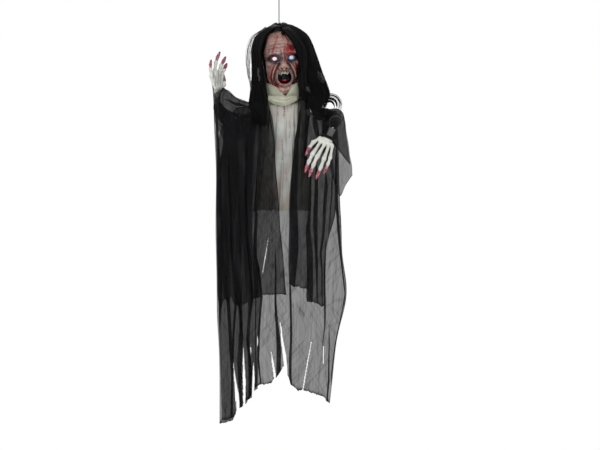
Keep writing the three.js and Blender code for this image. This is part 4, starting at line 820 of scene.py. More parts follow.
# Teeth: a gum bar with seven worn teeth apart from each other, the second from each side long.
SPACING = 3.5
TOOTH_SIDES = 10
tooth_parts, gum_mask = [], []
for i in range(7):
    x_at = (i - 3) * SPACING
    drop = {1: 9.0, 5: 8.4}.get(i, 5.8 + 0.7 * (i % 2))
    y_at = MOUTH[1] - 12.2 + 0.035 * x_at * x_at
    top = MOUTH[2] + 14.6
    tip = [(x_at * 1.02, y_at - 0.9, top - drop * 0.6), (x_at * 1.03, y_at - 0.2, top - drop)]
    line = along([(x_at, y_at, top + 2), (x_at, y_at - 0.6, top - 1.5)] + tip, 9)
    taper = [1.1, 0.75, 0.3] if i in (1, 5) else [1.3, 1.15, 0.85]
    tooth_parts.append(tube(line, [1.3, 1.35, 1.4, 1.45, 1.4, 1.35] + taper, TOOTH_SIDES))
    gum_mask += np.repeat(np.clip(np.linspace(0.7, -1.8, 9), 0, 1), TOOTH_SIDES).tolist()
arch = [(-14.5, 5, 13.6), (-8, 10, 15.4), (0, 11.8, 15.8), (8, 10, 15.4), (14.5, 5, 13.6)]
bar = along([(x_at, MOUTH[1] - back, MOUTH[2] + rise) for x_at, back, rise in arch], 24)
tooth_parts.append(tube(bar, [2.1 + 0.25 * math.sin(k * 1.9) for k in range(24)], TOOTH_SIDES))
gum_mask += [1.0] * (24 * TOOTH_SIDES)
points, faces = gather(tooth_parts)
teeth = ("upper_teeth_worn", on_head(points), faces, tooth_paint, "tooth_ivory", "head", ["upper_teeth"])
rounded(face_out(piece(*teeth, {"gum": gum_mask})))

# Tongue: broad, grooved down the middle, curling up at its tip.
TONGUE_HALF, TONGUE_THICK, TONGUE_LONG = 9.2, 3.4, 21
rows, columns = 22, 20
t = np.linspace(0, 1, rows)[:, None]
a = 2 * math.pi * np.arange(columns)[None, :] / columns
half = TONGUE_HALF * np.sin(math.pi * (0.16 + 0.8 * t)) ** 0.6
groove = np.where(np.sin(a) > 0, 0.9 * bell(np.cos(a), 0.22), 0)
spine_z = MOUTH[2] - 11.5 + 3.6 * np.sin(1.7 * t) + 2.2 * t * t
up = (TONGUE_THICK * np.sin(a) - groove) * (1 - 0.5 * t**3)
forward = MOUTH[1] + 9 - TONGUE_LONG * t + 0 * a
points = np.stack([half * np.cos(a), forward, spine_z + up], 2).reshape(-1, 3)
tongue = ("tongue_curled", on_head(points), ring_faces(rows, columns), tongue_latex, "tongue_red", "head")
rounded(face_out(piece(*tongue, ["tongue"])))
refinish("mouth_liner", mouth_latex)


# The wig: a rooted cap, and locks and strands that hang along three falls and a fringe.
rng = np.random.default_rng(7)
# Rows down a fall, in head shares: middle x, y, z, half width and half depth.
FALLS = {
    "hair_right": [
        (-0.40, -0.16, 0.92, 0.10, 0.08), (-0.52, -0.20, 0.80, 0.14, 0.11),
        (-0.612, -0.17, 0.62, 0.122, 0.14),
        (-0.615, -0.12, 0.42, 0.125, 0.16), (-0.632, -0.07, 0.22, 0.15, 0.23),
        (-0.665, -0.2, 0.04, 0.185, 0.18),
        (-0.68, -0.36, -0.10, 0.215, 0.11), (-0.64, -0.46, -0.28, 0.19, 0.05),
        (-0.59, -0.47, -0.44, 0.12, 0.03),
    ],
    "hair_left": [
        (0.30, -0.24, 0.93, 0.14, 0.08), (0.47, -0.26, 0.82, 0.17, 0.10), (0.57, -0.22, 0.66, 0.19, 0.12),
        (0.63, -0.16, 0.46, 0.22, 0.16), (0.70, -0.11, 0.26, 0.24, 0.22), (0.74, -0.21, 0.08, 0.28, 0.18),
        (0.75, -0.36, -0.04, 0.30, 0.12), (0.72, -0.44, -0.15, 0.27, 0.07),
        (0.66, -0.46, -0.33, 0.17, 0.04),
    ],
    "hair_back": [
        (0, 0.50, 0.84, 0.30, 0.10), (0, 0.57, 0.64, 0.44, 0.11), (0, 0.57, 0.44, 0.52, 0.13),
        (0, 0.52, 0.22, 0.56, 0.14), (0, 0.49, 0.02, 0.58, 0.11), (0, 0.475, -0.20, 0.58, 0.07),
        (0, 0.46, -0.42, 0.52, 0.05), (0, 0.45, -0.60, 0.42, 0.035),
    ],
    "fringe": [
        (0.10, -0.36, 0.935, 0.06, 0.03), (0.20, -0.40, 0.87, 0.08, 0.04), (0.31, -0.41, 0.78, 0.09, 0.04),
        (0.41, -0.39, 0.68, 0.10, 0.045), (0.47, -0.35, 0.55, 0.10, 0.05),
        (0.475, -0.31, 0.40, 0.10, 0.055),
        (0.44, -0.29, 0.22, 0.11, 0.06), (0.45, -0.36, 0.05, 0.12, 0.05), (0.44, -0.45, -0.12, 0.13, 0.04),
    ],
}
PART_X = 3.0


def crown_height(y):
    """The height of the skull's top along the part."""
    return 117.5 + 56 * np.sqrt(np.maximum(0, 1 - ((y - 12.5) / 61) ** 2))


def off_head(points, clearance):
    """Pushes points out of the head until they clear it."""
    for _ in range(4):
        f = head_field(*points.T)
        slope = np.stack(
            [head_field(*(points + d).T) - head_field(*(points - d).T) for d in np.eye(3) * 0.5], 1
        )
        slope /= np.linalg.norm(slope, axis=1)[:, None] + 1e-9
        points = points + slope * np.maximum(0, clearance - f)[:, None]
    return points


def hanging(down, angle, reach, length, wave):
    """The line of one lock or strand: from the part, over the skull, then down its fall."""
    down = down[: max(6, int(len(down) * length))]
    t = np.linspace(0, 1, len(down))
    line = down[:, :3].copy()
    turn = angle + wave[0] * np.sin(wave[1] * t * 6.283 + wave[2]) * t
    line[:, 0] += down[:, 3] * reach * np.cos(turn) + wave[3] * np.sin(wave[4] * t * 6.283 + wave[2]) * t
    line[:, 1] += down[:, 4] * reach * np.sin(turn)
    y_part = np.clip(line[0, 1] * 0.9 + 2, -40, 52)
    root = np.array([PART_X, y_part, crown_height(y_part) + 2])
    across = root + (line[2] - root) * np.array([0, 0.25, 0.5, 0.75])[:, None]
    across[:, 2] += (0, 7, 9, 6)
    return evenly(np.vstack([across, line[2:]]), 28)


def hair_mass(rows, locks, strands, side_on, curl, half_turn, lengths):
    """One fall: a ridged core, tapered locks over it, and loose strands over those."""
    down = along(np.array(rows) * [WIDTH, DEPTH, HEIGHT, WIDTH, DEPTH] + [0, 0, BASE, 0, 0], 36)
    rings, sides = len(down), 60
    turn = np.linspace(0, 2 * math.pi, sides, endpoint=False)[None, :]
    row = np.arange(rings)[:, None]
    shrink = 0.93 * np.sqrt(np.maximum(0.01, 1 - (np.maximum(0, row - 24) / 11) ** 2))
    ridge = shrink * (1 + 0.05 * np.sin(11 * turn + 0.11 * row) + 0.035 * np.sin(23 * turn - 0.2 * row))
    core = np.stack(
        [
            down[:, :1] + down[:, 3:4] * ridge * np.cos(turn),
            down[:, 1:2] + down[:, 4:5] * ridge * np.sin(turn),
            down[:, 2:3] + 0 * ridge,
        ],
        2,
    )
    core = off_head(core.reshape(-1, 3), 2.0)
    parts = [(core, [face[:1] + face[:0:-1] for face in ring_faces(rings, sides)])]
    tail = down[-1] + (down[-1] - down[-4]) * np.linspace(0.4, 1.6, 4)[:, None]
    tail[:, 3:] = down[-1, 3:] * np.linspace(0.9, 0.5, 4)[:, None]
    down = np.vstack([down, tail])
    lines, clear = [], []
    for i in range(locks + strands):
        thick = i < locks
        angle = side_on + half_turn * (2 * (i + 0.5) / locks - 1 if thick else rng.uniform(-1, 1))
        reach = rng.uniform(0.9, 0.98) if thick else rng.uniform(0.96, 1.12)
        wave = rng.uniform((-0.35, 0.8, 0, 0.3 * curl, 1), (0.35, 2.2, 6.28, curl, 2.6))
        lines.append(hanging(down, angle, reach, rng.uniform(*lengths), wave))
        clear.append(rng.uniform(3.5, 5.0) if thick else rng.uniform(5.0, 8.0))
    each = len(lines[0])
    lines = off_head(np.vstack(lines), np.repeat(clear, each)).reshape(-1, each, 3)
    t = np.linspace(0, 1, each)
    for i, line in enumerate(lines):
        if i < locks:
            parts.append(tube(line, 3.4 * (1 - t**4) * (0.75 + 0.25 * np.sin(5 * t + i)) + 0.3, 7))
        else:
            parts.append(tube(line, rng.uniform(0.32, 0.6) * (1 - 0.6 * t**3), 4))
    return gather(parts)


def hair_piece(name, points, faces, stands_for=(), material=hair_black):
    """A piece of hair, fixed in place in the frame's metres."""
    made = piece(name, points, faces, material, "hair_black", None, stands_for)
    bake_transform(made)


# Of each fall: its locks, its strands, the side it faces, its wave, how far round it
# goes and how long its locks are.
locks = {
    fall: hair_mass(FALLS[fall], *settings)
    for fall, settings in {
        "hair_right": (15, 300, math.pi * 1.12, 1.2, 1.9, (0.74, 0.93)),
        "hair_left": (17, 340, -math.pi * 0.12, 3.2, 1.9, (0.7, 0.9)),
        "hair_back": (30, 520, math.pi * 0.5, 2.0, 1.7, (0.84, 1.0)),
        "fringe": (8, 110, -math.pi * 0.4, 1.5, 1.9, (0.8, 0.95)),
    }.items()
}
for name, falls in (
    ("wig_fall_right", ["hair_right"]),
    ("wig_fall_left", ["hair_left", "fringe"]),
    ("wig_fall_back", ["hair_back"]),
):
    points, faces = gather([locks[fall] for fall in falls])
    hair_piece(name, on_head(points), faces, falls[:1])

# The cap: rooted hair lying on the skull, open over the face.
CAP_THICK, CAP_GAP = 5.5, 0.5
cap_low, cap_high, cap_step = (-58, -64, 30), (58, 84, 182), 1.7
x, y, z = grid_over(cap_low, cap_high, cap_step)
bare = head_field(x, y, z)
comb = 0.8 * np.sin(y * 0.9 + 3 * np.sin(z * 0.06)) + 0.5 * np.sin(y * 2.1 + x * 0.05)
on_top = smooth_step(z, 140, 165)
crest = 2.6 * bell(np.abs(x - PART_X), 8, 11) * on_top
groove = 3.0 * bell(x, 2.2, PART_X) * on_top
cap = np.maximum(bare - CAP_THICK - crest + groove - comb, CAP_GAP - bare)
HAIRLINE = [
    (-50, 92), (-46, 104), (-29, 153), (-10, 159), (5, 158), (18, 142), (30, 122), (36, 100), (50, 80),
]
hairline = np.interp(x[:, 0, 0], *np.array(HAIRLINE).T)
lowest = hairline[:, None, None] + (52 - hairline[:, None, None]) * smooth_step(y, -22, 4)
cap = np.maximum(cap, lowest - z)
cap = np.maximum(cap, -np.maximum(np.hypot(x, y) - 5.4, 120 - z))
points, quads = skin_of(cap, cap_low, cap_step)
piece("wig_cap_rooted", on_head(points), quads, hair_black, "hair_black", "head", ["wig_cap"])

# Thin flyaway hair outside the figure's right fall, and glints on single hairs: both grey, a painted
# highlight.
STRAY_RADIUS, GLINT_RADIUS = 0.27 * MM, 0.2 * MM
parts = []
edge = [
    (266, 27), (258, 32), (251.5, 37), (247.2, 48), (246.2, 60), (247.4, 73), (250.6, 87), (250.2, 101),
    (249, 109),
]
inner = [
    (267, 29), (261, 35), (256.5, 44), (254.5, 55), (253.2, 65), (252.6, 76), (252.6, 88), (251.6, 100),
    (251, 109),
]
for i in range(26):
    share = rng.uniform(0, 1) ** 0.7
    stray = rng.uniform(-0.7, 0.7, (9, 2)) * [1, 0.4]
    line = np.array(edge) * share + np.array(inner) * (1 - share) + stray
    keep = rng.integers(5, 10)
    depth = rng.uniform(-26, 6)
    line = [at(px, py, (depth - 18 * k / 9) * MM) for k, (px, py) in enumerate(line[:keep])]
    parts.append(tube(along(line, 28), STRAY_RADIUS, 4))
mass = on_head(np.vstack([points for points, _ in locks.values()]))
for px, py, rise, curl in (
    (320, 75.5, 3.4, 2.4), (322.5, 79.5, 3.0, 2.2), (307.4, 89, 1.4, 1.6), (308.8, 91.6, 1.4, 1.4),
    (258.6, 73, 4.2, 0.4), (259.6, 79, 2.6, 0.5),
):
    for i in range(4):
        turn, lean = rng.uniform(0, 6.28), rng.uniform(-0.5, 0.5)
        line = []
        for k in range(9):
            a, rest = 4.4 * k / 8, (k / 4 - 1) * rise * rng.uniform(0.96, 1.04)
            bend = py + rest + 0.4 * curl * math.sin(a + turn)
            x, y, z = at(px + lean + curl * math.cos(a + turn), bend, -34 * MM)
            below = mass[np.hypot(mass[:, 0] - x, mass[:, 2] - z) < 3 * MM]
            line.append((x, below[:, 1].min() if len(below) else y, z))
        parts.append(tube(along(line, 26), GLINT_RADIUS, 4))
hair_piece("wig_stray_hair", *gather(parts), material=hair_grey_painted_highlight)

# Curls that stand off the ends of the left fall, over the shoulder.
parts = []
for i in range(44):
    r = (4.6, 7.2, 9.6, 11.8)[i % 4] + rng.normal(0, 0.45)
    px, py = 329.5 + rng.uniform(-0.6, 0.6), 106 + rng.uniform(-0.8, 0.8)
    first, last = rng.uniform(1.6, 2.2), rng.uniform(-0.5, 0.5)
    line = []
    for k in range(10):
        a = first + (last - first) * k / 9
        line.append(at(px + r * math.cos(a), py - 0.95 * r * math.sin(a), (-46 - 6 * math.sin(a)) * MM))
    parts.append(tube(along(line, 30), (0.8, 0.6, 0.4, 0.27)[i % 4] * MM, 4))
hair_piece("wig_stray_curls", *gather(parts))


# Clothes.


def weave(rows, across):
    """Faces of a grid of points that has `across` points in a row."""
    j, i = np.meshgrid(np.arange(rows - 1) * across, np.arange(across - 1), indexing="ij")
    return np.stack([j + i, j + i + 1, j + across + i + 1, j + across + i], 2).reshape(-1, 4)


def slab(grid, thickness):
    """A closed sheet of some thickness about a grid of points (rows, across, 3)."""
    rows, across = grid.shape[:2]
    normal = np.cross(np.gradient(grid, axis=1), np.gradient(grid, axis=0))
    normal /= np.linalg.norm(normal, axis=2)[:, :, None] + 1e-12
    v = np.linspace(0, 1, rows)[:, None]
    u = np.linspace(0, 1, across)[None, :]
    edge = np.minimum(np.minimum(v, 1 - v) * rows, np.minimum(u, 1 - u) * across)
    half = thickness / 2 * (0.35 + 0.65 * np.clip(edge / 1.5, 0, 1))
    off = normal * half[..., None]
    points = np.vstack([(grid + off).reshape(-1, 3), (grid - off).reshape(-1, 3)])
    face = weave(rows, across)
    count = rows * across
    ring = [(0, i) for i in range(across)] + [(j, across - 1) for j in range(1, rows)]
    ring += [(rows - 1, i) for i in range(across - 2, -1, -1)] + [(j, 0) for j in range(rows - 2, 0, -1)]
    ring = np.array([j * across + i for j, i in ring])
    turned = np.roll(ring, -1)
    rim = np.stack([ring, ring + count, turned + count, turned], 1)
    return points, np.vstack([face, face[:, ::-1] + count, rim])


pivot_mm = np.array(neck) / MM
foot_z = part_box("shirt_collar")[0][2] / MM

# Stand collar: a stiff band that opens over the throat in two pointed wings.
TOP_EDGE = [
    (-180, 38), (-120, 41), (-85, 43), (-60, 39), (-42, 36), (-20, 28), (-4, 12), (4, 9), (13, 20),
    (18, 34), (37, 40), (60, 42), (90, 42), (130, 41), (180, 38),
]
COLLAR_RADIUS, COLLAR_HEIGHT, COLLAR_LEAN = 36.6, 39.6, 8
angle = np.radians(np.linspace(-177, 177, 180))[None, :]
v = np.linspace(0, 1, 26)[:, None]
rise = v * np.interp(np.degrees(angle), *np.array(TOP_EDGE).T)
wing = bell(np.degrees(angle), 9, 24) + bell(np.degrees(angle), 14, -34)
radius = COLLAR_RADIUS + COLLAR_LEAN * rise / COLLAR_HEIGHT
radius = radius + 3.2 * wing * v**3 + 0.5 * np.sin(7 * angle + 3 * v)
grid = np.stack([pivot_mm[0] + radius * np.sin(angle), -radius * np.cos(angle), foot_z + rise], 2)
points, faces = slab(grid * MM, 1.7 * MM)
# Darker greenish grey along the top edge and the foot of the collar.
edge_dark_and_pleat_shade = 0.9 * bell(v, 0.1, 1) + 0.5 * bell(v, 0.25) + 0 * angle
masks = {"edge_dark_and_pleat_shade": np.tile(edge_dark_and_pleat_shade.ravel(), 2)}
collar = piece("wing_collar", points, faces, collar_cotton, "collar_cream", None, ["shirt_collar"], masks)
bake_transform(collar)

# Cravat: a folded band with three soft pleats across it, lower in the middle.
CRAVAT_HALF, CRAVAT_DROP, CRAVAT_OUT = 34.5, 23, 40.8
u = np.linspace(-1, 1, 90)[None, :]
v = np.linspace(0, 1, 60)[:, None]
middle = 1 - u * u
sagging = v - 0.22 * (middle - 0.5) * v
pleats = np.abs(np.sin(2.6 * math.pi * sagging + 0.9 * u * u + 0.5 * np.sin(3 * u)))
pleats = 2.2 * pleats * np.sin(math.pi * np.clip(v, 0, 1)) ** 0.5
gathers = 0.9 * np.sin(9 * math.pi * u + 3 * v) * v * v + 0.5 * np.sin(4.3 * math.pi * u - 2 * v)
bulge = 8 * np.sin(0.9 * math.pi * v) * (0.5 + 0.5 * middle)
forward = CRAVAT_OUT * (1 - 0.12 * u * u) + bulge + pleats + gathers
drop = v * CRAVAT_DROP * (0.42 + 0.58 * middle) + 0.5 * np.sin(7 * u)
grid = np.stack([pivot_mm[0] - 5 + u * CRAVAT_HALF + 0 * v, -forward, foot_z + 9.6 - drop], 2)
points, faces = slab(grid[:, ::-1] * MM, 2.2 * MM)
# Painted shade: the hollows between the pleats are darkened greenish grey.
edge_dark_and_pleat_shade = np.clip(1.4 - pleats / 0.9, 0, 1) * 0.7 * np.sin(math.pi * v)
masks = {"edge_dark_and_pleat_shade": np.tile(edge_dark_and_pleat_shade.ravel(), 2)}
cravat = piece("cravat_pleated", points, faces, collar_cotton, "collar_cream", "frame", ["cravat"], masks)

# Tunic front and back: thin cotton that hangs from the shoulders in narrow pleats.
# Its half width at the shoulders and how far it flares, then its half depth there and below.
TUNIC_HALF, TUNIC_FLARE, TUNIC_NECK, TUNIC_DEEP = 47, 20, 12.8, 29.6
lean = math.tan(math.asin(-neck_axis.x))
for name, node, side in (("tunic_front", "shirt_front", -1), ("tunic_back", "shirt_back", 1)):
    u = np.linspace(-1, 1, 150)[None, :]
    v = np.linspace(0, 1, 110)[:, None] ** 1.25
    low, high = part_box(node)
    top, fall = high[2] / MM, (high[2] - low[2]) / MM - 8
    half = TUNIC_HALF + TUNIC_FLARE * v
    out = smooth_step(v, 0, 0.045)
    deep = smooth_step(v, 0.02, 0.5)
    pleat = (0.9 + 1.5 * deep) * np.sin(5.2 * math.pi * u + 1.3 * np.sin(2.5 * u) + 2.4 * v)
    pleat += (0.5 + 0.4 * deep) * np.sin(11 * math.pi * u - 5 * v + np.sin(9 * v))
    pleat += 1.5 * bell(v - 0.12 - 0.35 * np.abs(u - 0.1), 0.03) * (np.abs(u) < 0.6)
    across = pivot_mm[0] + u * half - 8 * v + (0.8 + 0.8 * deep) * np.cos(5.2 * math.pi * u + 2.4 * v)
    slope = np.maximum(0, np.abs(u) * TUNIC_HALF - 38) / 14
    ragged = 1.6 * np.sin(31 * u) + 1.2 * np.sin(57 * u + 1)
    tilt = lean * (across - pivot_mm[0]) * 0.9 * (1 - v)
    level = top - 11 * slope**1.3 * (1 - v) - (fall + ragged) * v + tilt
    near = side * (TUNIC_NECK + (TUNIC_DEEP - TUNIC_NECK) * out + out * pleat)
    grid = np.stack([across, near + 0 * level, np.minimum(level, top - 0.4)], 2)
    px = across / (PIXEL / MM) + CORD_PIXEL
    py = -level / (PIXEL / MM) - TOP_MARGIN
    blotches = 0.3 * np.sin(0.35 * px + 0.16 * py)
    sides = smooth_step(px, 293, 300) + smooth_step(-px, -276, -270)
    masks = {
        "cream": (1 - smooth_step(py - 0.5 * (px - 270), 96, 138)) * np.ones_like(pleat),
        "mud": 0.35 * smooth_step(py, 128, 140) + 0.55 * smooth_step(py, 160, 205) + blotches,
        "olive": 0.6 * (smooth_step(py, 200, 215) + sides),
        "blood": np.zeros_like(pleat),
    }
    if side < 0:
        for strength, half_width, line in (
            (0.6, 1.2, [(283.5, 104), (284.5, 109), (284, 116)]),
            (0.55, 1.1, [(289.5, 122), (290.3, 129), (289.6, 138)]),
            (0.5, 1.2, [(282.5, 141), (283.2, 150), (282.6, 160)]),
            (0.42, 1.0, [(286, 168), (286.5, 182)]),
            (0.5, 0.9, [(278, 112), (278.6, 122)]),
            (0.5, 0.6, [(287, 104), (288, 112)]),
        ):
            gap = off_line(px, py, line)
            masks["blood"] = np.maximum(masks["blood"], strength * bell(gap, half_width))
    rows, wide = grid.shape[:2]
    for key, value in masks.items():
        masks[key] = np.clip(np.broadcast_to(value, (rows, wide)), 0, 1).ravel()
    points = (grid * MM).reshape(-1, 3)
    shirt = piece(name, points, weave(rows, wide), shirt_cotton, "shirt_linen", "frame", [node], masks)


